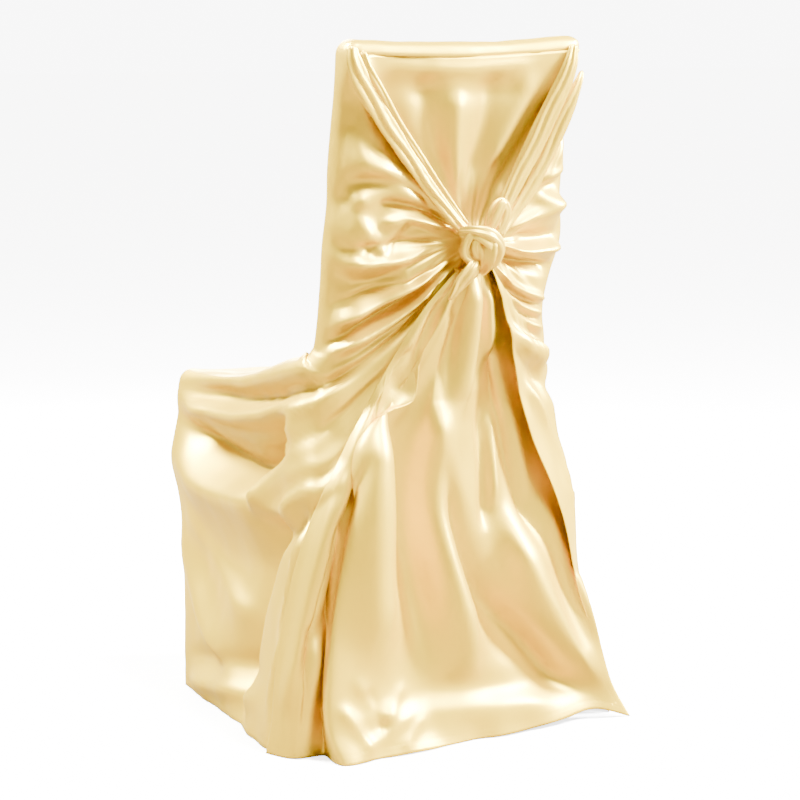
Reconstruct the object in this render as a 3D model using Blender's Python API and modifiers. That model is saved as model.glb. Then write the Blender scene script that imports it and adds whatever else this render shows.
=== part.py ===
import bmesh
import bpy
import math
from mathutils import Vector
from mathutils.bvhtree import BVHTree

# Self-tied satin chair cover, seen from behind in the photo. Metres, +Z up.
# +Y is the chair's front, -Y is the side with the knot, -X is the photo's left.
HALF_WIDTH = 0.182
REAR = -0.215
FRONT = 0.217
SEAT = 0.475
TOP = 0.960
LEAN = 0.070
BACK_THICKNESS = 0.050
STRIP = 0.018
CORNER_RADIUS = 0.020
CLOTH = 0.002
HEM_REST = 0.001
CENTRE_X = 0.006
CENTRE_Y = -0.027

# The two wings of the cover are gathered at the knot. SPLIT is half the slit between them.
KNOT_Z = 0.686
KNOT_STAND = 0.018
KNOT_SIDES = 16
PLEAT_DEPTH = 0.0016
PLEAT_WAVES = 5.0
WING_HUG = 0.006
SPLIT = 0.004

# Cage rows and columns of the cover.
ROW_PITCH = 0.0150
SIDE_PITCH = 0.0270
ACROSS_PITCH = 0.0230
COVER_KEEP = 0.70
PANEL_ROW_PITCH = 0.0240
PANEL_STEPS = 3

# How the panel keeps off the cover: the ray's start and reach, the distance kept under the wings
# and outside the left wing, where the outside part ends, and the height of the free right edge.
RAY_BACK = 0.30
RAY_REACH = 0.34
CLEAR = 0.0065
CLEAR_OUTSIDE = 0.0035
OUTSIDE_TOP = 0.655
OUTSIDE_SHARE = 0.62
SLANT_SHARE = 0.12
SLANT = 0.75
FREE_EDGE = 0.220

# The cloth at the seat's rear corners is drawn up towards the knot, and the hood's top dips.
CORNER_LIFT = 0.036
LIFT_REACH = 0.240
LIFT_LOW = 0.120
LIFT_FADE = 0.200
SEAT_CROWN = 0.016
HOOD_REACH = 0.075
HOOD_TOP = ((-0.182, 0.001), (-0.090, -0.002), (0.0, -0.003), (0.100, 0.001), (0.182, 0.006))
HOOD_EAR = 0.011

# How far the hem stands out from the seat's walls: place along the side, out in x, out in y.
LEFT_HEM = (
    (-0.215, -0.062, -0.024),
    (-0.160, -0.070, -0.004),
    (-0.080, -0.054, 0.0),
    (0.060, -0.028, 0.0),
    (0.217, -0.004, 0.004),
)
RIGHT_HEM = (
    (-0.215, 0.098, -0.010),
    (-0.160, 0.086, -0.002),
    (-0.080, 0.060, 0.0),
    (0.060, 0.034, 0.0),
    (0.217, 0.010, 0.006),
)
FRONT_HEM = ((-0.182, 0.004), (-0.090, 0.026), (0.0, 0.012), (0.090, 0.028), (0.182, 0.006))

# Free edge of each wing: cage height, x, stand-off from the back's plane, height.
LEFT_EDGE = (
    (0.000, -0.090, 0.004, 0.000),
    (0.200, -0.070, 0.003, 0.340),
    (0.340, -0.030, 0.002, 0.575),
    (0.400, 0.004, 0.006, 0.655),
    (0.480, 0.008, 0.012, 0.670),
    (0.620, 0.010, 0.018, 0.688),
    (0.800, 0.010, 0.018, 0.702),
    (0.942, 0.008, 0.014, 0.712),
)
RIGHT_EDGE = (
    (0.000, 0.272, 0.034, 0.000),
    (0.110, 0.244, 0.046, 0.130),
    (0.220, 0.188, 0.050, 0.248),
    (0.300, 0.158, 0.042, 0.346),
    (0.380, 0.124, 0.036, 0.436),
    (0.440, 0.084, 0.032, 0.567),
    (0.480, 0.048, 0.028, 0.660),
    (0.540, 0.047, 0.028, 0.672),
    (0.620, 0.047, 0.026, 0.688),
    (0.800, 0.047, 0.024, 0.702),
    (0.942, 0.048, 0.018, 0.714),
)

# Main folds of the side walls and wings: run and cage height at the start, middle and end, then
# half width and depth, out of the cloth being positive. The run is the distance from the rear
# corner along the cage, positive towards the chair's front and negative towards the knot.
LEFT_FOLDS = (
    ("band roll", (0.000, 0.930), (-0.090, 0.925), (-0.175, 0.915), 0.014, 0.0090),
    ("band trough", (0.004, 0.895), (-0.090, 0.888), (-0.175, 0.880), 0.016, -0.0060),
    ("upper crumple", (0.020, 0.790), (-0.030, 0.770), (-0.090, 0.800), 0.022, 0.0080),
    ("crumple trough", (0.010, 0.745), (-0.050, 0.750), (-0.110, 0.775), 0.018, -0.0070),
    ("arc fold", (-0.010, 0.700), (-0.070, 0.735), (-0.140, 0.740), 0.020, 0.0080),
    ("elbow trough", (-0.020, 0.655), (-0.070, 0.660), (-0.120, 0.690), 0.018, -0.0080),
    ("elbow ridge", (0.010, 0.620), (-0.060, 0.615), (-0.130, 0.640), 0.016, 0.0080),
    ("pocket", (-0.010, 0.575), (-0.050, 0.570), (-0.090, 0.580), 0.022, -0.0100),
    ("swath lip", (0.010, 0.530), (-0.080, 0.535), (-0.160, 0.545), 0.014, 0.0110),
    ("swath gap", (0.000, 0.505), (-0.080, 0.508), (-0.170, 0.515), 0.012, -0.0100),
    ("seat swath", (0.200, 0.472), (0.020, 0.480), (-0.150, 0.484), 0.018, 0.0160),
    ("first swag trough", (0.340, 0.466), (0.150, 0.448), (-0.040, 0.456), 0.014, -0.0130),
    ("first swag", (0.370, 0.442), (0.190, 0.412), (-0.020, 0.436), 0.018, 0.0150),
    ("second swag trough", (0.400, 0.430), (0.190, 0.374), (-0.060, 0.414), 0.018, -0.0160),
    ("flap", (0.110, 0.330), (0.020, 0.362), (-0.140, 0.392), 0.024, 0.0200),
    ("flap shadow", (0.170, 0.280), (0.020, 0.290), (-0.080, 0.320), 0.030, -0.0120),
    ("side billow", (0.290, 0.380), (0.250, 0.240), (0.240, 0.080), 0.060, 0.0100),
    ("side hollow", (0.150, 0.270), (0.140, 0.150), (0.150, 0.020), 0.050, -0.0120),
    ("rear billow", (0.070, 0.250), (0.065, 0.140), (0.070, 0.010), 0.040, 0.0100),
)
RIGHT_FOLDS = (
    ("inner pleat", (0.000, 0.932), (-0.080, 0.930), (-0.160, 0.926), 0.012, 0.0110),
    ("dark pleat", (0.002, 0.905), (-0.080, 0.900), (-0.165, 0.896), 0.014, -0.0110),
    ("outer pleat", (0.004, 0.872), (-0.080, 0.866), (-0.165, 0.860), 0.016, 0.0100),
    ("wing crumple", (0.000, 0.790), (-0.050, 0.775), (-0.100, 0.785), 0.022, -0.0090),
    ("wing ridge", (0.010, 0.740), (-0.060, 0.745), (-0.130, 0.740), 0.022, 0.0090),
    ("wing hollow", (0.010, 0.685), (-0.060, 0.690), (-0.130, 0.700), 0.022, -0.0090),
    ("wing lip", (0.014, 0.640), (-0.070, 0.640), (-0.150, 0.645), 0.012, 0.0120),
    ("lip gap", (0.010, 0.620), (-0.070, 0.620), (-0.160, 0.625), 0.010, -0.0100),
    ("fan pleat one", (0.010, 0.600), (-0.070, 0.598), (-0.160, 0.600), 0.008, 0.0070),
    ("fan gap one", (0.010, 0.584), (-0.070, 0.582), (-0.160, 0.586), 0.007, -0.0060),
    ("fan pleat two", (0.010, 0.568), (-0.070, 0.568), (-0.160, 0.572), 0.008, 0.0070),
    ("fan gap two", (0.010, 0.552), (-0.070, 0.552), (-0.160, 0.558), 0.007, -0.0060),
    ("fan pleat three", (0.010, 0.534), (-0.070, 0.536), (-0.160, 0.544), 0.010, 0.0080),
    ("swath", (0.160, 0.466), (0.010, 0.486), (-0.140, 0.500), 0.024, 0.0120),
    ("swath trough", (0.280, 0.440), (0.100, 0.420), (-0.060, 0.452), 0.018, -0.0100),
    ("edge roll", (-0.080, 0.405), (-0.120, 0.410), (-0.178, 0.440), 0.012, 0.0070),
    ("side billow", (0.330, 0.360), (0.300, 0.220), (0.290, 0.040), 0.050, 0.0120),
    ("side hollow", (0.200, 0.360), (0.190, 0.200), (0.180, 0.020), 0.045, -0.0120),
    ("rear billow", (0.080, 0.360), (0.080, 0.200), (0.080, 0.020), 0.040, 0.0120),
)
# Folds of the front skirt: x, cage height at top, half width and depth.
FRONT_FOLDS = (
    ("left", -0.120, 0.420, 0.030, 0.0090),
    ("left hollow", -0.055, 0.380, 0.028, -0.0080),
    ("middle", 0.005, 0.400, 0.030, 0.0080),
    ("right hollow", 0.066, 0.390, 0.028, -0.0080),
    ("right", 0.125, 0.420, 0.028, 0.0090),
)

# The back panel above and at the knot: height, left x, right x, stand-off.
PANEL_UPPER = (
    (0.946, -0.170, 0.182, -0.0052),
    (0.925, -0.168, 0.177, -0.0070),
    (0.860, -0.158, 0.166, -0.0090),
    (0.800, -0.122, 0.136, -0.0095),
    (0.750, -0.082, 0.108, -0.0090),
    (0.722, -0.040, 0.082, -0.0060),
    (0.708, -0.002, 0.056, 0.0000),
    (0.698, 0.017, 0.040, 0.0060),
    (0.672, 0.016, 0.041, 0.0180),
)
# Its fold lines below the knot. Each has x and stand-off at the heights of PANEL_LEVELS,
# and how far its hem is lifted.
PANEL_LEVELS = (0.652, 0.600, 0.520, 0.430, 0.290, 0.150, 0.050, 0.000)
PANEL_RIBS = (
    (
        "left edge",
        (-0.012, -0.058, -0.108, -0.158, -0.222, -0.254, -0.256, -0.262),
        (0.030, 0.028, 0.026, 0.024, 0.008, -0.006, -0.016, -0.024),
        0.0,
    ),
    (
        "strip ridge",
        (-0.008, -0.048, -0.094, -0.150, -0.202, -0.232, -0.240, -0.246),
        (0.032, 0.032, 0.034, 0.036, 0.032, 0.026, 0.024, 0.022),
        0.0,
    ),
    (
        "left trough",
        (-0.003, -0.036, -0.076, -0.136, -0.178, -0.196, -0.196, -0.200),
        (0.030, 0.027, 0.026, 0.024, 0.018, 0.014, 0.020, 0.028),
        0.0,
    ),
    (
        "front edge",
        (0.000, -0.026, -0.070, -0.140, -0.184, -0.212, -0.216, -0.203),
        (0.032, 0.034, 0.038, 0.046, 0.052, 0.056, 0.066, 0.086),
        0.0,
    ),
    (
        "left billow",
        (0.006, -0.018, -0.052, -0.104, -0.136, -0.150, -0.154, -0.150),
        (0.031, 0.030, 0.036, 0.048, 0.060, 0.062, 0.066, 0.082),
        0.0,
    ),
    (
        "soft trough",
        (0.012, 0.000, -0.026, -0.058, -0.080, -0.080, -0.078, -0.080),
        (0.030, 0.024, 0.024, 0.030, 0.038, 0.044, 0.056, 0.078),
        0.0,
    ),
    (
        "centre billow",
        (0.020, 0.018, 0.006, 0.000, -0.006, 0.002, 0.004, 0.004),
        (0.029, 0.030, 0.036, 0.042, 0.054, 0.062, 0.060, 0.070),
        0.002,
    ),
    (
        "centre trough",
        (0.027, 0.036, 0.044, 0.052, 0.060, 0.074, 0.086, 0.088),
        (0.026, 0.020, 0.020, 0.022, 0.032, 0.042, 0.056, 0.068),
        0.008,
    ),
    (
        "right billow",
        (0.034, 0.056, 0.078, 0.100, 0.118, 0.140, 0.166, 0.170),
        (0.022, 0.020, 0.022, 0.026, 0.040, 0.052, 0.056, 0.066),
        0.016,
    ),
    (
        "right hollow",
        (0.040, 0.076, 0.104, 0.134, 0.160, 0.184, 0.212, 0.226),
        (0.018, 0.012, 0.010, 0.012, 0.026, 0.044, 0.054, 0.062),
        0.022,
    ),
    (
        "right edge",
        (0.052, 0.094, 0.126, 0.158, 0.184, 0.204, 0.234, 0.264),
        (0.012, 0.008, 0.006, 0.010, 0.022, 0.046, 0.062, 0.076),
        0.0,
    ),
)

# The wrap of the knot: angle about the bundle, centre x, half width, radius, thickness.
WRAP = (
    (66, 0.022, 0.024, 0.022, 0.0050),
    (44, 0.023, 0.028, 0.028, 0.0060),
    (15, 0.026, 0.029, 0.031, 0.0070),
    (-10, 0.029, 0.026, 0.032, 0.0070),
    (-34, 0.032, 0.020, 0.032, 0.0065),
    (-58, 0.033, 0.012, 0.030, 0.0055),
    (-78, 0.033, 0.006, 0.027, 0.0040),
)
# Short free ends: x, stand-off, height, half width and half thickness along each.
LEFT_TAIL = (
    (-0.006, 0.046, 0.704, 0.0050, 0.0030),
    (-0.014, 0.048, 0.692, 0.0085, 0.0040),
    (-0.016, 0.049, 0.678, 0.0090, 0.0045),
    (-0.013, 0.050, 0.664, 0.0085, 0.0045),
    (-0.004, 0.050, 0.652, 0.0100, 0.0045),
    (-0.011, 0.047, 0.640, 0.0115, 0.0040),
    (-0.018, 0.045, 0.628, 0.0100, 0.0032),
    (-0.024, 0.043, 0.618, 0.0060, 0.0022),
)
UPPER_TAIL = (
    (0.034, 0.035, 0.7132, 0.0070, 0.0034),
    (0.039, 0.039, 0.726, 0.0085, 0.0042),
    (0.047, 0.042, 0.742, 0.0080, 0.0040),
    (0.054, 0.042, 0.752, 0.0045, 0.0026),
)
TAIL_SIDES = 10
WRAP_STATIONS = 14

SATIN = (0.86, 0.69, 0.40, 1.0)
SATIN_LIGHT = (0.90, 0.76, 0.50, 1.0)


def clear_scene():
    for item in list(bpy.data.objects):
        bpy.data.objects.remove(item, do_unlink=True)


def make_material(name, colour, roughness):
    material = bpy.data.materials.new(name)
    material.use_nodes = True
    shader = material.node_tree.nodes["Principled BSDF"]
    shader.inputs["Base Color"].default_value = colour
    shader.inputs["Roughness"].default_value = roughness
    shader.inputs["Metallic"].default_value = 0.0
    material.diffuse_color = colour
    return material


def smooth(value):
    value = min(1.0, max(0.0, value))
    return value * value * (3.0 - 2.0 * value)


def read_table(rows, key):
    """Values of a table's other columns at a key, eased between its rows."""
    if key <= rows[0][0]:
        return rows[0][1:]
    for index in range(len(rows) - 1):
        low = rows[index]
        high = rows[index + 1]
        if key <= high[0]:
            before = rows[max(index - 1, 0)]
            after = rows[min(index + 2, len(rows) - 1)]
            span = high[0] - low[0]
            share = (key - low[0]) / span
            values = []
            for column in range(1, len(low)):
                start = low[column]
                end = high[column]
                slope_low = (end - before[column]) / (high[0] - before[0]) * span
                slope_high = (after[column] - start) / (after[0] - low[0]) * span
                square = share * share
                cube = square * share
                values.append(
                    (2 * cube - 3 * square + 1) * start
                    + (cube - 2 * square + share) * slope_low
                    + (3 * square - 2 * cube) * end
                    + (cube - square) * slope_high
                )
            return tuple(values)
    return rows[-1][1:]


def rear_plane(height):
    """Y of the back's plane, upright under the seat and leaning back above it."""
    return REAR - LEAN * max(0.0, height - SEAT) / (TOP - SEAT)


def round_box(point, low, high, radius):
    """Moves a point on a box's face to the same box with rounded edges."""
    inner = Vector([min(max(point[k], low[k] + radius), high[k] - radius) for k in range(3)])
    away = point - inner
    if away.length < 1e-9:
        return point.copy()
    return inner + away.normalized() * radius


def body_point(cage):
    """Place of a cage vertex on the plain body: rounded, flared at the hem and leaning."""
    deep_floor = -1.0
    behind = cage.y <= REAR + BACK_THICKNESS + 1e-5
    if cage.z > SEAT + 1e-5 or behind:
        low = Vector((-HALF_WIDTH, REAR, deep_floor))
        high = Vector((HALF_WIDTH, REAR + BACK_THICKNESS, TOP))
        if cage.z <= SEAT + 1e-5:
            high.y = FRONT
    else:
        low = Vector((-HALF_WIDTH, REAR, deep_floor))
        high = Vector((HALF_WIDTH, FRONT, SEAT))
    point = round_box(cage, low, high, CORNER_RADIUS)
    if cage.z <= SEAT + 1e-5:
        drop = (SEAT - cage.z) / SEAT
        side = cage.x / HALF_WIDTH
        if cage.x < 0:
            out_x, out_y = read_table(LEFT_HEM, cage.y)
        else:
            out_x, out_y = read_table(RIGHT_HEM, cage.y)
        point.x += out_x * drop * abs(side) ** 2
        point.y += out_y * drop * abs(side) ** 2
        toward_front = smooth((cage.y - REAR) / (FRONT - REAR) * 2.0 - 1.0)
        point.y += read_table(FRONT_HEM, cage.x)[0] * drop * toward_front
        if cage.z > SEAT - 1e-4 and not behind:
            across = 1.0 - side * side
            along = (cage.y - REAR) / (FRONT - REAR)
            point.z += SEAT_CROWN * across * math.sin(math.pi * min(1.0, along + 0.12))
    point.y -= LEAN * max(0.0, cage.z - SEAT) / (TOP - SEAT)
    point.z += corner_lift(cage)
    hood = smooth((cage.z - TOP + HOOD_REACH) / HOOD_REACH)
    point.z += hood * read_table(HOOD_TOP, cage.x)[0]
    point.x += HOOD_EAR * hood * smooth(cage.x / HALF_WIDTH)
    return point


def corner_lift(cage):
    """Rise of the cloth beside the seat's rear corners, where the knot draws it up."""
    near = smooth(1.0 - (cage.y - REAR) / LIFT_REACH)
    edge = (abs(cage.x) / HALF_WIDTH) ** 4
    if cage.z <= SEAT + 1e-5:
        band = smooth((cage.z - LIFT_LOW) / (SEAT - LIFT_LOW))
    else:
        band = smooth(1.0 - (cage.z - SEAT) / LIFT_FADE)
    return CORNER_LIFT * near * edge * band


def wing_point(cage):
    """Place of a cage vertex on a wing, which runs from the rear corner to its free edge."""
    left = cage.x < 0
    reach = (HALF_WIDTH - abs(cage.x)) / (HALF_WIDTH - SPLIT)
    corner = body_point(Vector((-HALF_WIDTH if left else HALF_WIDTH, REAR, cage.z)))
    edge_x, stand, edge_z = read_table(LEFT_EDGE if left else RIGHT_EDGE, cage.z)
    edge = Vector((edge_x, rear_plane(edge_z) - stand, edge_z))
    point = corner.lerp(edge, reach)
    hug = (1.0 - (1.0 - min(1.0, reach * 5.0)) ** 2) * (1.0 - reach)
    point.y -= WING_HUG * hug
    return point


def run_distance(place, start, middle, end):
    """Distance from a place on the cage to a fold's curve, and how far along it that is."""
    best = 1e9
    share = 0.0
    steps = 14
    for index in range(steps + 1):
        t = index / steps
        first = (start[0] + (middle[0] - start[0]) * t, start[1] + (middle[1] - start[1]) * t)
        second = (middle[0] + (end[0] - middle[0]) * t, middle[1] + (end[1] - middle[1]) * t)
        spot = (first[0] + (second[0] - first[0]) * t, first[1] + (second[1] - first[1]) * t)
        gap = math.hypot(place[0] - spot[0], place[1] - spot[1])
        if gap < best:
            best = gap
            share = t
    return best, share


def side_relief(cage):
    """Height of the folds at a cage vertex of the side walls and wings."""
    left = cage.x < 0
    if abs(cage.y - REAR) < 1e-5:
        run = abs(cage.x) - HALF_WIDTH
    else:
        run = cage.y - REAR
    height = 0.0
    for name, start, middle, end, width, depth in LEFT_FOLDS if left else RIGHT_FOLDS:
        control = (2 * middle[0] - (start[0] + end[0]) / 2, 2 * middle[1] - (start[1] + end[1]) / 2)
        gap, share = run_distance((run, cage.z), start, control, end)
        if gap < 3 * width:
            taper = smooth(share * 5.0) * smooth((1.0 - share) * 5.0)
            taper = 0.25 + 0.75 * taper
            height += depth * taper * math.exp(-((gap / width) ** 2))
    if run < 0:
        reach = -run / HALF_WIDTH
        height *= 1.0 - 0.75 * smooth((reach - 0.62) / 0.36)
    return height


def front_relief(cage):
    height = 0.0
    for name, centre, top, width, depth in FRONT_FOLDS:
        gap = (cage.x - centre) / width
        height += depth * math.exp(-gap * gap) * smooth((top - cage.z) / 0.22)
    return height


def spaced(start, end, pitch):
    count = max(1, round((end - start) / pitch))
    return [start + (end - start) * index / count for index in range(1, count)]


def cut_cage(mesh, places, normal):
    for place in places:
        point = Vector(normal) * place
        geometry = mesh.verts[:] + mesh.edges[:] + mesh.faces[:]
        bmesh.ops.bisect_plane(mesh, geom=geometry, plane_co=point, plane_no=Vector(normal))


def build_cage():
    """The seat's box with the back drawn up from its rear strip, open below and behind."""
    mesh = bmesh.new()
    bmesh.ops.create_cube(mesh, size=1.0)
    for vertex in mesh.verts:
        vertex.co.x *= 2 * HALF_WIDTH
        vertex.co.y = REAR if vertex.co.y < 0 else FRONT
        vertex.co.z = 0.0 if vertex.co.z < 0 else SEAT
    cut_cage(mesh, [REAR + BACK_THICKNESS], (0, 1, 0))
    strip = [
        face
        for face in mesh.faces
        if face.normal.z > 0.9 and face.calc_center_median().y < REAR + BACK_THICKNESS
    ]
    raised = bmesh.ops.extrude_face_region(mesh, geom=strip)
    moved = [item for item in raised["geom"] if isinstance(item, bmesh.types.BMVert)]
    bmesh.ops.translate(mesh, verts=moved, vec=(0, 0, TOP - SEAT))
    bmesh.ops.delete(mesh, geom=strip, context="FACES_ONLY")
    cut_cage(mesh, [-SPLIT, SPLIT], (1, 0, 0))
    columns = spaced(SPLIT, HALF_WIDTH, ACROSS_PITCH)
    cut_cage(mesh, columns + [-place for place in columns], (1, 0, 0))
    cut_cage(mesh, spaced(REAR, REAR + BACK_THICKNESS, SIDE_PITCH), (0, 1, 0))
    cut_cage(mesh, spaced(REAR + BACK_THICKNESS, FRONT, SIDE_PITCH), (0, 1, 0))
    cut_cage(mesh, spaced(0.0, SEAT, ROW_PITCH) + [SEAT], (0, 0, 1))
    cut_cage(mesh, spaced(SEAT, TOP - STRIP, ROW_PITCH) + [TOP - STRIP], (0, 0, 1))
    gone = []
    for face in mesh.faces:
        centre = face.calc_center_median()
        on_rear = abs(centre.y - REAR) < 1e-5
        if abs(face.normal.z) > 0.9 and centre.z < 1e-5:
            gone.append(face)
        elif on_rear and abs(centre.x) < SPLIT and centre.z < TOP - STRIP:
            gone.append(face)
    bmesh.ops.delete(mesh, geom=gone, context="FACES")
    seam = [
        edge
        for edge in mesh.edges
        if all(abs(v.co.y - REAR) < 1e-5 and abs(v.co.z - TOP + STRIP) < 1e-5 for v in edge.verts)
    ]
    bmesh.ops.split_edges(mesh, edges=seam)
    return mesh


def on_wing(vertex):
    if abs(vertex.co.y - REAR) > 1e-5 or abs(vertex.co.x) > HALF_WIDTH - 1e-5:
        return False
    return all(face.calc_center_median().z < TOP - STRIP for face in vertex.link_faces)


def build_cover(material, collection):
    mesh = build_cage()
    mesh.verts.ensure_lookup_table()
    cages = [vertex.co.copy() for vertex in mesh.verts]
    wings = [on_wing(vertex) for vertex in mesh.verts]
    for vertex, cage, wing in zip(mesh.verts, cages, wings):
        vertex.co = wing_point(cage) if wing else body_point(cage)
    mesh.normal_update()
    normals = [vertex.normal.copy() for vertex in mesh.verts]
    for vertex, cage, normal in zip(mesh.verts, cages, normals):
        on_side = abs(abs(cage.x) - HALF_WIDTH) < 1e-5
        on_rear = abs(cage.y - REAR) < 1e-5
        if on_side or on_rear:
            vertex.co += normal * side_relief(cage)
        if abs(cage.y - FRONT) < 1e-5:
            vertex.co += normal * front_relief(cage)
    settle_hem(mesh)
    return finish_sheet("cover", mesh, material, collection, COVER_KEEP)


def settle_hem(mesh):
    for vertex in mesh.verts:
        vertex.co.z = max(vertex.co.z, HEM_REST)


def panel_point(share, height):
    """Place on the back panel: share runs from its left edge to its right edge."""
    ribs = len(PANEL_RIBS) - 1
    if height > PANEL_LEVELS[0]:
        rows = [(0.652, PANEL_RIBS[0][1][0], PANEL_RIBS[-1][1][0], 0.024)] + list(PANEL_UPPER[::-1])
        left, right, stand = read_table(rows, height)
        x = left + (right - left) * share
        blend = smooth((height - PANEL_LEVELS[0]) / 0.03)
        low_stand = read_table([(k, rib[2][0]) for k, rib in enumerate(PANEL_RIBS)], share * ribs)[0]
        stand = low_stand * (1 - blend) + stand * blend
        return Vector((x, rear_plane(height) - stand, height))
    columns = []
    for index, rib in enumerate(PANEL_RIBS):
        rows = list(zip(PANEL_LEVELS, rib[1], rib[2]))[::-1]
        x, stand = read_table(rows, height)
        lift = rib[3] * smooth(1.0 - height / 0.25)
        columns.append((index, x, stand, lift))
    x, stand, lift = read_table(columns, share * ribs)
    return Vector((x, rear_plane(height) - stand, height + lift))


def clear_of_cover(place, share, height, cover):
    """Moves a place on the panel off the cover: outside it at the left below the knot,
    and under the wings elsewhere."""
    outside = height < OUTSIDE_TOP and share < OUTSIDE_SHARE
    slant = SLANT * smooth((SLANT_SHARE - share) / SLANT_SHARE) if outside else 0.0
    inward = Vector((slant, 1.0, 0.0)).normalized()
    start = place - inward * RAY_BACK
    clear = CLEAR
    if outside:
        clear = CLEAR_OUTSIDE + (CLEAR - CLEAR_OUTSIDE) * smooth((OUTSIDE_TOP - height) / 0.02)
    hit = cover.ray_cast(start, inward, RAY_REACH)
    beside = not outside and height < FREE_EDGE
    if hit[0] is None or beside:
        return place
    depth = (hit[0] - start).length
    if outside:
        return start + inward * min(RAY_BACK, depth - clear)
    grazing = abs(hit[1].y) < 0.3
    if grazing:
        return place
    return start + inward * max(RAY_BACK, depth + clear)


def surface_tree(item):
    """Ray tree of an object's sheet as its Decimate modifier leaves it."""
    item.modifiers["cloth"].show_viewport = False
    graph = bpy.context.evaluated_depsgraph_get()
    tree = BVHTree.FromObject(item, graph)
    item.modifiers["cloth"].show_viewport = True
    return tree


def build_panel(cover, material, collection):
    tree = surface_tree(cover)
    mesh = bmesh.new()
    top = PANEL_UPPER[0][0]
    rows = max(2, round(top / PANEL_ROW_PITCH))
    columns = (len(PANEL_RIBS) - 1) * PANEL_STEPS
    bmesh.ops.create_grid(mesh, x_segments=columns, y_segments=rows, size=0.5)
    shift = Vector((CENTRE_X, CENTRE_Y, 0.0))
    for vertex in mesh.verts:
        share = vertex.co.x + 0.5
        height = (vertex.co.y + 0.5) * top
        place = panel_point(share, height) - shift
        vertex.co = clear_of_cover(place, share, height, tree) + shift
    settle_hem(mesh)
    return finish_sheet("back_panel", mesh, material, collection)


def finish_sheet(name, mesh, material, collection, keep=1.0):
    for vertex in mesh.verts:
        vertex.co.x -= CENTRE_X
        vertex.co.y -= CENTRE_Y
    data = bpy.data.meshes.new(name)
    mesh.to_mesh(data)
    mesh.free()
    data.materials.append(material)
    sheet = bpy.data.objects.new(name, data)
    collection.objects.link(sheet)
    if keep < 1.0:
        thin = sheet.modifiers.new("fewer faces", "DECIMATE")
        thin.ratio = keep
    shell = sheet.modifiers.new("cloth", "SOLIDIFY")
    shell.thickness = CLOTH
    shell.offset = -1.0
    shell.use_even_offset = False
    return sheet


def loft_rings(name, rings, material, collection):
    """A closed solid lofted through rings of the same number of points."""
    mesh = bmesh.new()
    loops = [[mesh.verts.new(point) for point in ring] for ring in rings]
    count = len(rings[0])
    for near, far in zip(loops, loops[1:]):
        for index in range(count):
            nxt = (index + 1) % count
            mesh.faces.new((near[index], near[nxt], far[nxt], far[index]))
    mesh.faces.new(loops[0][::-1])
    mesh.faces.new(loops[-1])
    bmesh.ops.recalc_face_normals(mesh, faces=mesh.faces)
    for vertex in mesh.verts:
        vertex.co.x -= CENTRE_X
        vertex.co.y -= CENTRE_Y
    data = bpy.data.meshes.new(name)
    mesh.to_mesh(data)
    mesh.free()
    data.materials.append(material)
    item = bpy.data.objects.new(name, data)
    collection.objects.link(item)
    return item


def build_knot(material, collection):
    """The band that wraps the gathered wings, with two pleats pressed into its face."""
    rings = []
    rows = [(-row[0],) + row[1:] for row in WRAP]
    first = rows[0][0]
    last = rows[-1][0]
    for station in range(WRAP_STATIONS + 1):
        angle = first + (last - first) * station / WRAP_STATIONS
        centre, half, radius, thick = read_table(rows, angle)
        turn = math.radians(-angle)
        out = Vector((0, -math.cos(turn), math.sin(turn)))
        hub = Vector((centre, rear_plane(KNOT_Z) - KNOT_STAND, KNOT_Z))
        ring = []
        for index in range(KNOT_SIDES):
            around = 2 * math.pi * index / KNOT_SIDES
            across = math.cos(around)
            raised = math.sin(around)
            pleat = PLEAT_DEPTH * math.cos(PLEAT_WAVES * math.pi * across) if raised > 0.2 else 0.0
            place = hub + Vector((half * across, 0, 0)) + out * (radius + thick * raised + pleat)
            ring.append(place)
        rings.append(ring)
    return loft_rings("knot", rings, material, collection)


def build_tail(name, table, material, collection):
    rings = []
    spots = [Vector((row[0], rear_plane(row[2]) - row[1], row[2])) for row in table]
    for index, row in enumerate(table):
        ahead = spots[min(index + 1, len(spots) - 1)] - spots[max(index - 1, 0)]
        across = ahead.cross(Vector((0, -1, 0))).normalized()
        out = across.cross(ahead).normalized()
        ring = []
        for side in range(TAIL_SIDES):
            around = 2 * math.pi * side / TAIL_SIDES
            ring.append(spots[index] + across * row[3] * math.cos(around) + out * row[4] * math.sin(around))
        rings.append(ring)
    return loft_rings(name, rings, material, collection)


def main():
    clear_scene()
    collection = bpy.data.collections.new("chair_cover")
    bpy.context.scene.collection.children.link(collection)
    satin = make_material("gold_satin", SATIN, 0.34)
    light = make_material("gold_satin_tie", SATIN_LIGHT, 0.34)
    cover = build_cover(satin, collection)
    build_panel(cover, satin, collection)
    build_knot(light, collection)
    build_tail("tie_end_left", LEFT_TAIL, light, collection)
    build_tail("tie_end_upper", UPPER_TAIL, light, collection)


main()
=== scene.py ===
import bmesh
import bpy
import math
import numpy as np
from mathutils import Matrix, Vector, noise
from mathutils.bvhtree import BVHTree


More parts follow.
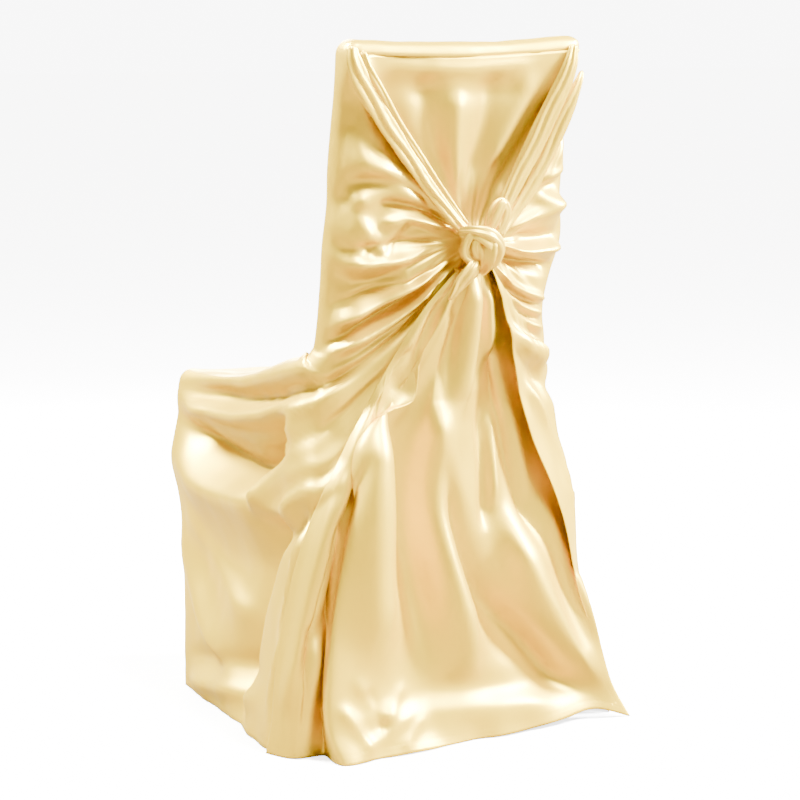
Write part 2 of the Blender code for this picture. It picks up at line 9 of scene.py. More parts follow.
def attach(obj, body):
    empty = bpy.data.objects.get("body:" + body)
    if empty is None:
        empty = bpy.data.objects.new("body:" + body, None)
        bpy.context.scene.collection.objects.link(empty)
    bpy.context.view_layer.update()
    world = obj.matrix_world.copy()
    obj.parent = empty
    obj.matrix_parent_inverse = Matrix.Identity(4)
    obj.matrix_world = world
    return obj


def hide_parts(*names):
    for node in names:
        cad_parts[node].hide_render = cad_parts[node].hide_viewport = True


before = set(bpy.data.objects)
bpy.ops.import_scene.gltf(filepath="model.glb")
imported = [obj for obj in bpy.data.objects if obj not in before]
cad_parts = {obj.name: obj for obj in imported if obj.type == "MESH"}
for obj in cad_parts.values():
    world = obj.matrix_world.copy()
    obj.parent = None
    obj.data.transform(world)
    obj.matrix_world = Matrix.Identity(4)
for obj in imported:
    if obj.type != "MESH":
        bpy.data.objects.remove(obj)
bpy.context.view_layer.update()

# Sizes shared by the pieces, in metres. The centre is the shift from the design to the frame.
body = dict(
    half=0.182, rear=-0.215, front=0.217, seat=0.475, top=0.960, lean=0.070, deep=0.050,
    strip=0.018, corner=0.020, cloth=0.0012, centre=(0.006, -0.027), split=0.004,
    lift=0.036, liftReach=0.240, liftLow=0.120, liftFade=0.200, crown=0.016, crownShift=0.12,
    hood=((-0.182, 0.001), (-0.090, -0.002), (0.0, -0.003), (0.100, 0.001), (0.182, 0.006)),
    ear=0.011, hoodReach=0.075, lowest=0.0008,
)
tiny = 1e-5


def smooth(value):
    value = np.clip(value, 0.0, 1.0)
    return value * value * (3.0 - 2.0 * value)


# Falls from 1 to the share that is left, from the start and over the span.
def fall(value, start, span, left=0.0):
    return 1.0 - (1.0 - left) * smooth((value - start) / span)


def bell(value, centre, width):
    return np.exp(-(((value - centre) / width) ** 2))


# Columns of a table at the keys, eased between its rows. The first column is the key.
def readTable(rows, key):
    rows = np.asarray(rows, float)
    key = np.clip(np.asarray(key, float), rows[0, 0], rows[-1, 0])
    index = np.clip(np.searchsorted(rows[:, 0], key, side="right") - 1, 0, len(rows) - 2)
    lowRow = rows[index]
    highRow = rows[index + 1]
    before = rows[np.maximum(index - 1, 0)]
    after = rows[np.minimum(index + 2, len(rows) - 1)]
    span = (highRow[..., 0] - lowRow[..., 0])[..., None]
    t = ((key - lowRow[..., 0]) / span[..., 0])[..., None]
    start = lowRow[..., 1:]
    end = highRow[..., 1:]
    slopeLow = (end - before[..., 1:]) / (highRow[..., :1] - before[..., :1]) * span
    slopeHigh = (after[..., 1:] - start) / (after[..., :1] - lowRow[..., :1]) * span
    return (
        (2 * t**3 - 3 * t**2 + 1) * start
        + (t**3 - 2 * t**2 + t) * slopeLow
        + (3 * t**2 - 2 * t**3) * end
        + (t**3 - t**2) * slopeHigh
    )


def rearPlane(height):
    rise = np.maximum(0.0, height - body["seat"]) / (body["top"] - body["seat"])
    return body["rear"] - body["lean"] * rise


def noiseField(points, pitch, seed, tall=1.0):
    shift = Vector((seed, seed * 0.7, 0.3))
    return np.array([noise.noise(Vector(p) / pitch + shift) for p in points * (1.0, 1.0, tall)])


# Rows of height, pitch, seed and how far the noise is drawn out upwards.
def uneven(points, rows):
    return sum(size * noiseField(points, pitch, seed, tall) for size, pitch, seed, tall in rows)


foldLine = dict(steps=41, reach=3.2, taper=4.0)


# Sum of the folds of a table. A row holds, in millimetres, the fold's start, middle and end, its
# width above and below and its height, then its sharpness and how narrow it is at its end.
# A place is the way along the cloth from the rear corner, or across the panel, and the height.
def foldRelief(u, z, rows):
    total = np.zeros(len(u))
    t = np.linspace(0.0, 1.0, foldLine["steps"])
    pull = t[:, None]
    for _, *row, sharp, narrow in rows:
        lengths = np.array(row) / 1000
        start, middle, end = lengths[:6].reshape(3, 2)
        above, below, height = lengths[6:]
        control = 2 * middle - (start + end) / 2
        curve = (1 - pull) ** 2 * start + 2 * pull * (1 - pull) * control + pull**2 * end
        along = 2 * (1 - pull) * (control - start) + 2 * pull * (end - control)
        reach = foldLine["reach"] * max(above, below)
        near = (u > curve[:, 0].min() - reach) & (u < curve[:, 0].max() + reach)
        near &= (z > curve[:, 1].min() - reach) & (z < curve[:, 1].max() + reach)
        spots = np.nonzero(near)[0]
        if not len(spots):
            continue
        du = u[spots][:, None] - curve[:, 0]
        dz = z[spots][:, None] - curve[:, 1]
        gap = np.hypot(du, dz)
        k = gap.argmin(1)
        pick = np.arange(len(spots))
        speed = np.hypot(along[k, 0], along[k, 1])
        side = (along[k, 0] * dz[pick, k] - along[k, 1] * du[pick, k]) / speed
        ahead = (along[k, 0] * du[pick, k] + along[k, 1] * dz[pick, k]) / speed
        beyond = ((k == 0) & (ahead < 0)) | ((k == len(t) - 1) & (ahead > 0))
        away = np.where(beyond, gap[pick, k], np.abs(side))
        share = np.clip(t[k] + ahead / speed, 0.0, 1.0)
        width = np.where(side < 0, above, below) * (1 + (narrow - 1) * share)
        taper = smooth(share * foldLine["taper"]) * smooth((1.0 - share) * foldLine["taper"])
        total[spots] += height * taper * np.exp(-((away / width) ** sharp))
    return total


# Small rays of cloth around the knot, at an angle and a distance from it.
def gatherWave(angle, span, facts):
    first, second, share = facts["first"], facts["second"], facts["share"]
    wave = np.sin(angle * first[0] + first[1]) + share * np.sin(angle * second[0] + second[1])
    return facts["height"] * wave * span * smooth(1.0 - span / facts["reach"])


# The cover: one sheet over the seat, sides, front and hood, with two wings behind.
# In metres, apart from the folds.
cover = dict(
    pitch=0.0056, backPitch=0.0042, cuts=3, round=(0.048, 0.014), roundFrom=(0.490, 0.060),
    roundTo=(0.878, 0.050), rim=0.040, rimFront=0.22, rimReach=(0.010, 0.360), rimBand=(0.010, 0.060),
    rimRear=0.060, fill=0.013, fillReach=(0.020, 0.190), fillBand=(0.385, 0.120),
    hoodRise=0.004, hoodBlend=(0.930, 0.020), hug=0.006, hugRate=5.0, foldGain=1.6, blurs=2,
    wander=(0.0035, 0.060, 3.1, 8.7), wanderFade=0.140, wanderLeft=(0.3, 0.2),
    uneven=((0.0030, 0.085, 1.7, 1.0), (0.0008, 0.026, 5.2, 0.55)),
    hemUneven=((0.0030, 0.045, 9.9, 0.4),), hemReach=0.070,
    gather=dict(
        first=(26.0, 1.3), second=(43.0, 0.4), share=0.6, height=0.020, reach=0.130,
        lowest=0.400, gap=0.004,
    ),
    leftHem=(
        (-0.215, -0.062, -0.024), (-0.160, -0.070, -0.004), (-0.080, -0.054, 0.0),
        (0.060, -0.028, 0.0), (0.217, -0.004, 0.004),
    ),
    rightHem=(
        (-0.215, 0.098, -0.010), (-0.160, 0.086, -0.002), (-0.080, 0.060, 0.0),
        (0.060, 0.034, 0.0), (0.217, 0.010, 0.006),
    ),
    rightSwell=((0.700, 0.055, 0.016), (0.800, 0.045, 0.009), (0.540, 0.028, 0.009), (0.310, 0.100, 0.011)),
    swellReach=(0.096, 0.080),
    frontHem=((-0.182, 0.004), (-0.090, 0.026), (0.0, 0.012), (0.090, 0.028), (0.182, 0.006)),
    leftEdge=(
        (0.000, -0.090, 0.004, 0.000), (0.200, -0.070, 0.006, 0.340), (0.340, -0.030, 0.016, 0.575),
        (0.400, 0.004, 0.019, 0.655), (0.480, 0.008, 0.019, 0.670), (0.620, 0.010, 0.019, 0.688),
        (0.800, 0.010, 0.018, 0.702), (0.942, 0.008, 0.014, 0.712),
    ),
    rightEdge=(
        (0.000, 0.264, 0.040, 0.000), (0.110, 0.222, 0.054, 0.130), (0.220, 0.178, 0.052, 0.248),
        (0.300, 0.150, 0.044, 0.346), (0.380, 0.120, 0.036, 0.436), (0.440, 0.084, 0.032, 0.567),
        (0.480, 0.048, 0.028, 0.660), (0.540, 0.047, 0.028, 0.672), (0.620, 0.047, 0.026, 0.688),
        (0.800, 0.047, 0.024, 0.702), (0.942, 0.048, 0.018, 0.714),
    ),
    leftFolds=(
        ("band shade", -14, 905, -85, 812, -180, 712, 10, 16, -2.2, 2, 0.5),
        ("corner ridge", 20, 872, -56, 796, -165, 712, 18, 22, 5, 1.8, 0.5),
        ("upper dark", 10, 868, -22, 832, -70, 806, 16, 22, -5, 2, 0.7),
        ("wing billow", 20, 806, -60, 790, -156, 736, 30, 18, 7, 2, 0.4),
        ("arc trough", 12, 742, -56, 782, -158, 728, 12, 10, -6.6, 1.6, 0.5),
        ("arc ridge", 4, 726, -60, 760, -130, 736, 8, 16, 5, 1.6, 0.6),
        ("edge crumple", 34, 790, -10, 768, -44, 740, 9, 12, 3.4, 1.6, 0.8),
        ("edge patch", 30, 764, -6, 750, -34, 728, 10, 10, -3.4, 1.8, 0.8),
        ("left facet", 40, 722, -12, 712, -50, 684, 22, 20, 10, 2, 0.8),
        ("ridge down", -6, 752, -40, 716, -78, 664, 12, 10, 5.6, 1.4, 0.7),
        ("elbow trough", -20, 716, -44, 694, -72, 668, 9, 10, -3.4, 1.7, 0.8),
        ("elbow ridge", -60, 664, -74, 704, -104, 726, 8, 10, 4, 1.4, 0.8),
        ("elbow shade", -76, 668, -92, 700, -122, 714, 8, 10, -3, 1.8, 0.8),
        ("swirl ridge", -58, 714, -102, 727, -178, 704, 6, 9, 7.5, 1.4, 0.6),
        ("swirl dark", -50, 748, -112, 742, -182, 708, 9, 6, -8, 1.5, 0.6),
        ("lower light", 40, 700, -36, 668, -150, 690, 10, 13, 10, 1.5, 0.6),
        ("pocket", 24, 660, -40, 640, -106, 660, 14, 14, -8, 1.8, 0.8),
        ("pocket end", -82, 664, -104, 652, -100, 630, 6, 7, 4, 1.6, 1),
        ("pocket floor", 20, 630, -40, 618, -90, 640, 18, 16, -6, 2, 0.8),
        ("big light fold", 30, 572, -76, 618, -185, 674, 24, 8, 12, 1.5, 0.5),
        ("dark gap", 20, 556, -78, 600, -172, 658, 6, 7, -8, 1.5, 0.7),
        ("lip two", 34, 538, -72, 583, -182, 660, 7, 17, 13, 1.4, 0.35),
        ("lip shade", 30, 512, -72, 563, -178, 652, 12, 12, -5, 2, 0.4),
        ("crisp line", 40, 486, -68, 552, -175, 646, 14, 3, 6, 1.6, 0.5),
        ("crisp shade", 40, 480, -66, 546, -172, 642, 3, 8, -6, 1.6, 0.5),
        ("seat light", 400, 470, 150, 498, -60, 546, 22, 16, 12, 1.8, 0.8),
        ("seat dark", 425, 462, 157, 468, -77, 536, 10, 4, -11, 1.4, 0.7),
        ("swag one", 432, 446, 220, 436, -60, 512, 8, 24, 20, 1.5, 0.6),
        ("swag one shade", 350, 430, 180, 418, -10, 476, 6, 10, -9, 1.5, 0.8),
        ("swag crease one", 430, 459, 210, 455, -80, 530, 6, 6, -6, 1.4, 0.8),
        ("swag crease two", 300, 404, 160, 398, 20, 456, 6, 8, -7, 1.4, 0.8),
        ("flap crease", 90, 420, 10, 440, -100, 540, 6, 8, -6, 1.4, 0.7),
        ("flap crease two", 70, 380, 0, 404, -100, 520, 7, 8, 5, 1.4, 0.7),
        ("wing pleat one", 30, 610, -80, 634, -180, 676, 6, 6, -6, 1.4, 0.5),
        ("wing pleat two", 10, 690, -80, 694, -180, 696, 6, 8, -5, 1.4, 0.5),
        ("low swag", 420, 300, 300, 200, 130, 150, 20, 30, 6, 1.7, 0.8),
        ("swag dark", 470, 440, 215, 366, 30, 446, 16, 22, -26, 1.5, 0.8),
        ("deep pocket", 196, 372, 122, 412, 60, 452, 14, 14, -20, 1.5, 0.8),
        ("flap edge", 150, 292, 104, 392, 20, 480, 7, 80, 19, 1.6, 0.8),
        ("flap ridge", 140, 306, 14, 362, -90, 500, 11, 14, 10, 1.5, 0.6),
        ("flap shade", 120, 284, 4, 332, -80, 460, 10, 20, -11, 1.8, 0.7),
        ("side billow", 480, 380, 280, 318, 90, 344, 26, 44, 18, 1.8, 0.8),
        ("side hollow", 430, 228, 250, 214, 80, 252, 40, 50, -9, 2, 1),
        ("side light line", 440, 270, 370, 150, 200, 50, 30, 14, 11, 1.6, 1),
        ("side dark", 190, -30, 130, 190, 50, 370, 44, 20, -22, 1.7, 0.7),
        ("rear lip", 52, -20, 18, 262, -20, 410, 11, 14, 15, 1.5, 0.6),
        ("pool ridge", 440, 12, 260, 36, 60, 62, 12, 18, 9, 1.7, 1),
        ("pool hollow", 420, 46, 260, 72, 80, 100, 16, 12, -6, 1.8, 1),
        ("gap one", 50, 120, -2, 250, -30, 350, 7, 8, -14, 1.7, 0.8),
    ),
    rightFolds=(
        ("outer dark", 20, 900, -22, 842, -70, 770, 12, 12, -7, 1.8, 0.7),
        ("outer light", 30, 862, -14, 826, -80, 748, 10, 14, 5, 1.8, 0.7),
        ("crumple light", 20, 800, -22, 786, -66, 776, 6, 8, 6, 1.4, 0.8),
        ("crumple dark", 30, 786, -22, 768, -60, 764, 7, 9, -8, 1.6, 0.8),
        ("crumple two", 14, 722, -30, 742, -70, 756, 10, 12, 6, 1.5, 0.8),
        ("light face", 10, 742, -50, 730, -120, 700, 14, 14, 8, 1.7, 0.5),
        ("dark face", 20, 706, -44, 692, -100, 696, 13, 13, -9, 1.8, 0.7),
        ("wing lip", 14, 690, -55, 675, -130, 690, 12, 7, 12, 1.4, 0.5),
        ("wing under", 20, 652, -55, 655, -130, 676, 6, 12, -13, 1.7, 0.5),
        ("fan one", 20, 598, -74, 622, -134, 666, 7, 5, 7.5, 1.3, 0.4),
        ("fan gap one", 20, 588, -78, 613, -134, 662, 4, 6, -6, 1.5, 0.4),
        ("fan two", 20, 578, -80, 604, -136, 658, 7, 5, 7.5, 1.3, 0.4),
        ("fan gap two", 20, 566, -84, 596, -136, 654, 4, 6, -6, 1.5, 0.4),
        ("fan three", 20, 554, -86, 590, -138, 652, 8, 5, 8.5, 1.3, 0.4),
        ("fan gap three", 20, 538, -90, 578, -138, 647, 5, 7, -7, 1.5, 0.4),
        ("fan four", 30, 520, -92, 566, -140, 642, 10, 7, 8.5, 1.4, 0.4),
        ("fan gap four", 30, 500, -88, 538, -138, 632, 7, 10, -7, 1.6, 0.5),
        ("swath", 200, 480, 10, 506, -110, 570, 20, 18, 12, 1.7, 0.6),
        ("swath shade", 280, 450, 60, 462, -80, 530, 14, 16, -9, 1.8, 0.7),
        ("side swag", 380, 440, 180, 420, -40, 470, 18, 22, 12, 1.7, 0.8),
        ("side swag shade", 400, 412, 200, 376, 10, 430, 14, 22, -12, 1.7, 0.8),
        ("edge roll", 60, 270, -16, 420, -60, 490, 12, 16, 8, 1.6, 0.6),
        ("side billow", 380, 20, 320, 200, 250, 450, 50, 50, 9, 2, 0.7),
        ("side hollow", 240, 10, 200, 200, 130, 450, 40, 40, -9, 2, 0.6),
        ("rear billow", 110, 10, 90, 200, 30, 450, 35, 35, 9, 2, 0.5),
        ("right pool", 420, 10, 240, 45, 40, 40, 18, 16, 6, 1.8, 1),
    ),
    frontFolds=(
        (-0.120, 0.420, 0.030, 0.0090), (-0.055, 0.380, 0.028, -0.0080), (0.005, 0.400, 0.030, 0.0080),
        (0.066, 0.390, 0.028, -0.0080), (0.125, 0.420, 0.028, 0.0090),
    ),
    frontFade=0.220,
    knots=((-0.006, 0.690), (0.048, 0.692)),
)


# Places of cage points on the plain body: rounded, flared at the hem and leaning.
def bodyPoints(cage):
    x, y, z = cage.T
    wall = body["rear"] + body["deep"]
    behind = y <= wall + tiny
    above = z > body["seat"] + tiny
    lowBox = np.array([-body["half"], body["rear"], -1.0])
    ceiling = np.where(above | behind, body["top"], body["seat"])
    highBox = np.stack([np.full_like(x, body["half"]), np.where(above, wall, body["front"]), ceiling], 1)
    inner = np.clip(cage, lowBox + body["corner"], highBox - body["corner"])
    away = cage - inner
    size = np.linalg.norm(away, axis=1, keepdims=True)
    point = np.where(size < 1e-9, cage, inner + away / np.maximum(size, 1e-9) * body["corner"])
    drop = np.clip((body["seat"] - z) / body["seat"], 0.0, 1.0)
    side = x / body["half"]
    flare = np.where((x < 0)[:, None], readTable(cover["leftHem"], y), readTable(cover["rightHem"], y))
    point[:, 0] += flare[:, 0] * drop * side**2
    point[:, 1] += flare[:, 1] * drop * side**2
    forward = (y - body["rear"]) / (body["front"] - body["rear"])
    point[:, 1] += readTable(cover["frontHem"], x)[:, 0] * drop * smooth(forward * 2.0 - 1.0)
    onSeat = (z > body["seat"] - 1e-4) & ~above & ~behind
    along = np.minimum(1.0, forward + body["crownShift"])
    point[:, 2] += np.where(onSeat, body["crown"] * (1 - side**2) * np.sin(math.pi * along), 0.0)
    point[:, 1] -= body["lean"] * np.maximum(0.0, z - body["seat"]) / (body["top"] - body["seat"])
    near = smooth(1.0 - (y - body["rear"]) / body["liftReach"])
    band = np.where(
        above,
        smooth(1.0 - (z - body["seat"]) / body["liftFade"]),
        smooth((z - body["liftLow"]) / (body["seat"] - body["liftLow"])),
    )
    point[:, 2] += body["lift"] * near * np.abs(side) ** 4 * band
    hood = smooth((z - body["top"] + body["hoodReach"]) / body["hoodReach"])
    point[:, 2] += hood * readTable(body["hood"], x)[:, 0]
    point[:, 0] += body["ear"] * hood * smooth(side)
    return point


# How far a rounded rear corner lies inside the sharp one: towards the middle and the front.
def cornerDrop(u, radius):
    t = np.clip((radius - u) / (2 * radius), 0.0, 1.0)
    inside = np.abs(u) < radius
    across = np.where(inside, t**2 * radius - np.maximum(-u, 0.0), 0.0)
    ahead = np.where(inside, (1 - t) ** 2 * radius - np.maximum(u, 0.0), 0.0)
    return across, ahead


# Softens the rear corners, lifts the left rim of the seat, fills the front left corner and
# swells the right side.
def easePlaces(place, u, skin):
    wide, narrow = (cornerDrop(u, radius) for radius in cover["round"])
    z = place[:, 2]
    start, span = cover["roundFrom"]
    weight = smooth((z - start) / span) * fall(z, *cover["roundTo"]) * skin
    place[:, 0] -= np.sign(place[:, 0]) * weight * (wide[0] - narrow[0])
    place[:, 1] += weight * (wide[1] - narrow[1])
    side = np.clip(-place[:, 0] / body["half"], 0.0, 1.0)
    start, span = cover["rimReach"]
    near = fall(place[:, 1], body["front"] - start - span, span, cover["rimFront"])
    near *= bell(z, body["seat"] + cover["rimBand"][0], cover["rimBand"][1])
    near *= smooth((place[:, 1] - body["rear"]) / cover["rimRear"])
    place[:, 2] += cover["rim"] * near * side**3
    start, span = cover["fillReach"]
    full = smooth((place[:, 1] - start) / span) * bell(z, *cover["fillBand"]) * side**2
    place[:, 0] -= cover["fill"] * full
    place[:, 1] += cover["fill"] * full
    start, span = cover["hoodBlend"]
    place[:, 2] += cover["hoodRise"] * smooth((z - start) / span)
    reach, span = cover["swellReach"]
    outward = (place[:, 0] > 0) * skin * smooth((reach - np.abs(u)) / span)
    for height, spread, push in cover["rightSwell"]:
        place[:, 0] += push * outward * bell(z, height, spread)
    return place


# Places of cage points on the wings, which run from the rear corners to the knot.
def wingPoints(cage):
    left = cage[:, 0] < 0
    reach = (body["half"] - np.abs(cage[:, 0])) / (body["half"] - body["split"])
    rim = cage.copy()
    rim[:, 0] = np.where(left, -body["half"], body["half"])
    corner = bodyPoints(rim)
    leftEnd, rightEnd = (readTable(cover[side], cage[:, 2]) for side in ("leftEdge", "rightEdge"))
    edge = np.where(left[:, None], leftEnd, rightEnd)
    end = np.stack([edge[:, 0], rearPlane(edge[:, 2]) - edge[:, 1], edge[:, 2]], 1)
    point = corner + (end - corner) * reach[:, None]
    bulge = (1.0 - (1.0 - np.minimum(1.0, reach * cover["hugRate"])) ** 2) * (1.0 - reach)
    point[:, 1] -= cover["hug"] * bulge
    return point


def spaced(start, end, pitch):
    count = max(1, round((end - start) / pitch))
    return [start + (end - start) * index / count for index in range(1, count)]


# The seat's box with the back drawn up from its rear strip, open below and behind.
def makeCage():
    coarse = cover["pitch"] * (cover["cuts"] + 1)
    backCoarse = cover["backPitch"] * (cover["cuts"] + 1)
    mesh = bmesh.new()
    bmesh.ops.create_cube(mesh, size=1.0)
    for v in mesh.verts:
        v.co.x *= 2 * body["half"]
        v.co.y = body["rear"] if v.co.y < 0 else body["front"]
        v.co.z = 0.0 if v.co.z < 0 else body["seat"]

    def cut(places, normal):
        normal = Vector(normal)
        for place in places:
            geometry = mesh.verts[:] + mesh.edges[:] + mesh.faces[:]
            bmesh.ops.bisect_plane(mesh, geom=geometry, plane_co=normal * place, plane_no=normal)

    wall = body["rear"] + body["deep"]
    cut([wall], (0, 1, 0))
    strip = [f for f in mesh.faces if f.normal.z > 0.9 and f.calc_center_median().y < wall]
    raised = bmesh.ops.extrude_face_region(mesh, geom=strip)
    moved = [item for item in raised["geom"] if isinstance(item, bmesh.types.BMVert)]
    bmesh.ops.translate(mesh, verts=moved, vec=(0, 0, body["top"] - body["seat"]))
    bmesh.ops.delete(mesh, geom=strip, context="FACES_ONLY")
    cut([-body["split"], body["split"]], (1, 0, 0))
    columns = spaced(body["split"], body["half"], coarse)
    cut(columns + [-place for place in columns], (1, 0, 0))
    cut(spaced(body["rear"], wall, coarse), (0, 1, 0))
    cut(spaced(wall, body["front"], coarse), (0, 1, 0))
    seam = body["top"] - body["strip"]
    cut(spaced(0.0, body["seat"], coarse) + [body["seat"]], (0, 0, 1))
    cut(spaced(body["seat"], seam, backCoarse) + [seam], (0, 0, 1))
    gone = []
    for f in mesh.faces:
        centre = f.calc_center_median()
        onRear = abs(centre.y - body["rear"]) < tiny
        if abs(f.normal.z) > 0.9 and centre.z < tiny:
            gone.append(f)
        elif onRear and abs(centre.x) < body["split"] and centre.z < seam:
            gone.append(f)
    bmesh.ops.delete(mesh, geom=gone, context="FACES")
    bmesh.ops.remove_doubles(mesh, verts=mesh.verts[:], dist=tiny)
    split = [
        e for e in mesh.edges
        if all(abs(v.co.y - body["rear"]) < tiny and abs(v.co.z - seam) < tiny for v in e.verts)
    ]
    bmesh.ops.split_edges(mesh, edges=split)
    bmesh.ops.subdivide_edges(mesh, edges=mesh.edges[:], cuts=cover["cuts"], use_grid_fill=True)
    return mesh


# Turns a bmesh in design places into a smooth piece in the frame. Cloth gets its thickness here.
def finishPiece(name, mesh, material, thickness=0.0):
    for v in mesh.verts:
        v.co.x -= body["centre"][0]
        v.co.y -= body["centre"][1]
    data = bpy.data.meshes.new(name)
    mesh.to_mesh(data)
    mesh.free()
    for polygon in data.polygons:
        polygon.use_smooth = True
    data.materials.append(material)
    item = bpy.data.objects.new(name, data)
    bpy.context.scene.collection.objects.link(item)
    if thickness:
        shell = item.modifiers.new("cloth", "SOLIDIFY")
        shell.thickness = thickness
        shell.offset = -1.0
        shell.use_even_offset = False
    return item


def makeCover(material):
    mesh = makeCage()
    mesh.verts.ensure_lookup_table()
    seam = body["top"] - body["strip"]
    cage = np.array([v.co[:] for v in mesh.verts])
    high = cage[:, 2]
    onRear = np.abs(cage[:, 1] - body["rear"]) < tiny
    onSide = np.abs(np.abs(cage[:, 0]) - body["half"]) < tiny
    onFront = np.abs(cage[:, 1] - body["front"]) < tiny
    low = np.array([all(f.calc_center_median().z < seam for f in v.link_faces) for v in mesh.verts])
    skin = onSide | onRear
    wing = onRear & ~onSide & low
    left = cage[:, 0] < 0
    place = np.where(wing[:, None], wingPoints(cage), bodyPoints(cage))
    toCorner = np.where(left, -(place[:, 0] + body["half"]), place[:, 0] - body["half"])
    u = np.where(onRear, toCorner, cage[:, 1] - body["rear"])
    place = easePlaces(place, u, skin)
    for v, p in zip(mesh.verts, place):
        v.co = p
    mesh.normal_update()
    normal = np.array([v.normal[:] for v in mesh.verts])

    # The folds' lines wander a little, less so near the knot.
    z = place[:, 2]
    size, pitch, seedAlong, seedUp = cover["wander"]
    leftAlong, leftUp = cover["wanderLeft"]
    uFold = u + size * noiseField(place, pitch, seedAlong) * fall(-u, 0.0, cover["wanderFade"], leftAlong)
    zFold = z + size * noiseField(place, pitch, seedUp) * fall(-u, 0.0, cover["wanderFade"], leftUp)
    relief = np.zeros(len(cage))
    for rows, pick in ((cover["leftFolds"], skin & left), (cover["rightFolds"], skin & ~left)):
        relief[pick] = foldRelief(uFold[pick], zFold[pick], rows)
    gather = cover["gather"]
    for pick, knot in ((wing & left, cover["knots"][0]), (wing & ~left, cover["knots"][1])):
        pick = pick & (z > gather["lowest"])
        dx = np.abs(place[pick, 0] - knot[0]) + gather["gap"]
        dz = place[pick, 2] - knot[1]
        relief[pick] += gatherWave(np.arctan2(dz, dx), np.hypot(dx, dz), gather)

    # Where the folds fade: the places, what is measured, its start and span, and the share left.
    reach = np.clip((body["half"] - np.abs(cage[:, 0])) / (body["half"] - body["split"]), 0, 1)
    aboveSeat = high > body["seat"]
    fades = (
        (wing, reach, 0.72, 0.28, 0.45),
        (skin, high, seam - 0.020, 0.020, 0.0),
        (onSide & (cage[:, 1] > body["rear"] + body["deep"]), high, body["seat"] - 0.022, 0.022, 0.0),
        (onSide & (high > body["seat"] + 0.030), u, 0.0, 0.030, 0.25),
        (onSide, u, 0.330, 0.080, 0.40),
        (skin & ~left & (high > 0.300), u, -0.036, 0.034, 0.35),
        (skin & left & aboveSeat & (u < 0.030), u, -0.040, 0.036, 0.45),
    )
    for pick, value, start, span, share in fades:
        relief[pick] *= fall(value[pick], start, span, share)
    for centre, topZ, width, depth in cover["frontFolds"]:
        bump = bell(cage[:, 0], centre, width) * smooth((topZ - high) / cover["frontFade"])
        relief += onFront * depth * bump
    relief *= cover["foldGain"]
    links = np.array([[v.index for v in e.verts] for e in mesh.edges])
    count = np.bincount(links.ravel(), minlength=len(cage))
    for _ in range(cover["blurs"]):
        near = np.bincount(links[:, 0], relief[links[:, 1]], len(cage))
        near += np.bincount(links[:, 1], relief[links[:, 0]], len(cage))
        relief = 0.5 * relief + 0.5 * near / count
    relief += uneven(place, cover["uneven"])
    relief += smooth(1.0 - high / cover["hemReach"]) * uneven(place, cover["hemUneven"])
    final = place + normal * relief[:, None]
    final[:, 2] = np.maximum(final[:, 2], body["lowest"])
    hem = mesh.verts.layers.float.new("hem")
    for v, p, distance in zip(mesh.verts, final, high):
        v.co = p
        v[hem] = float(distance)
    return finishPiece("coverSheet", mesh, material, body["cloth"])


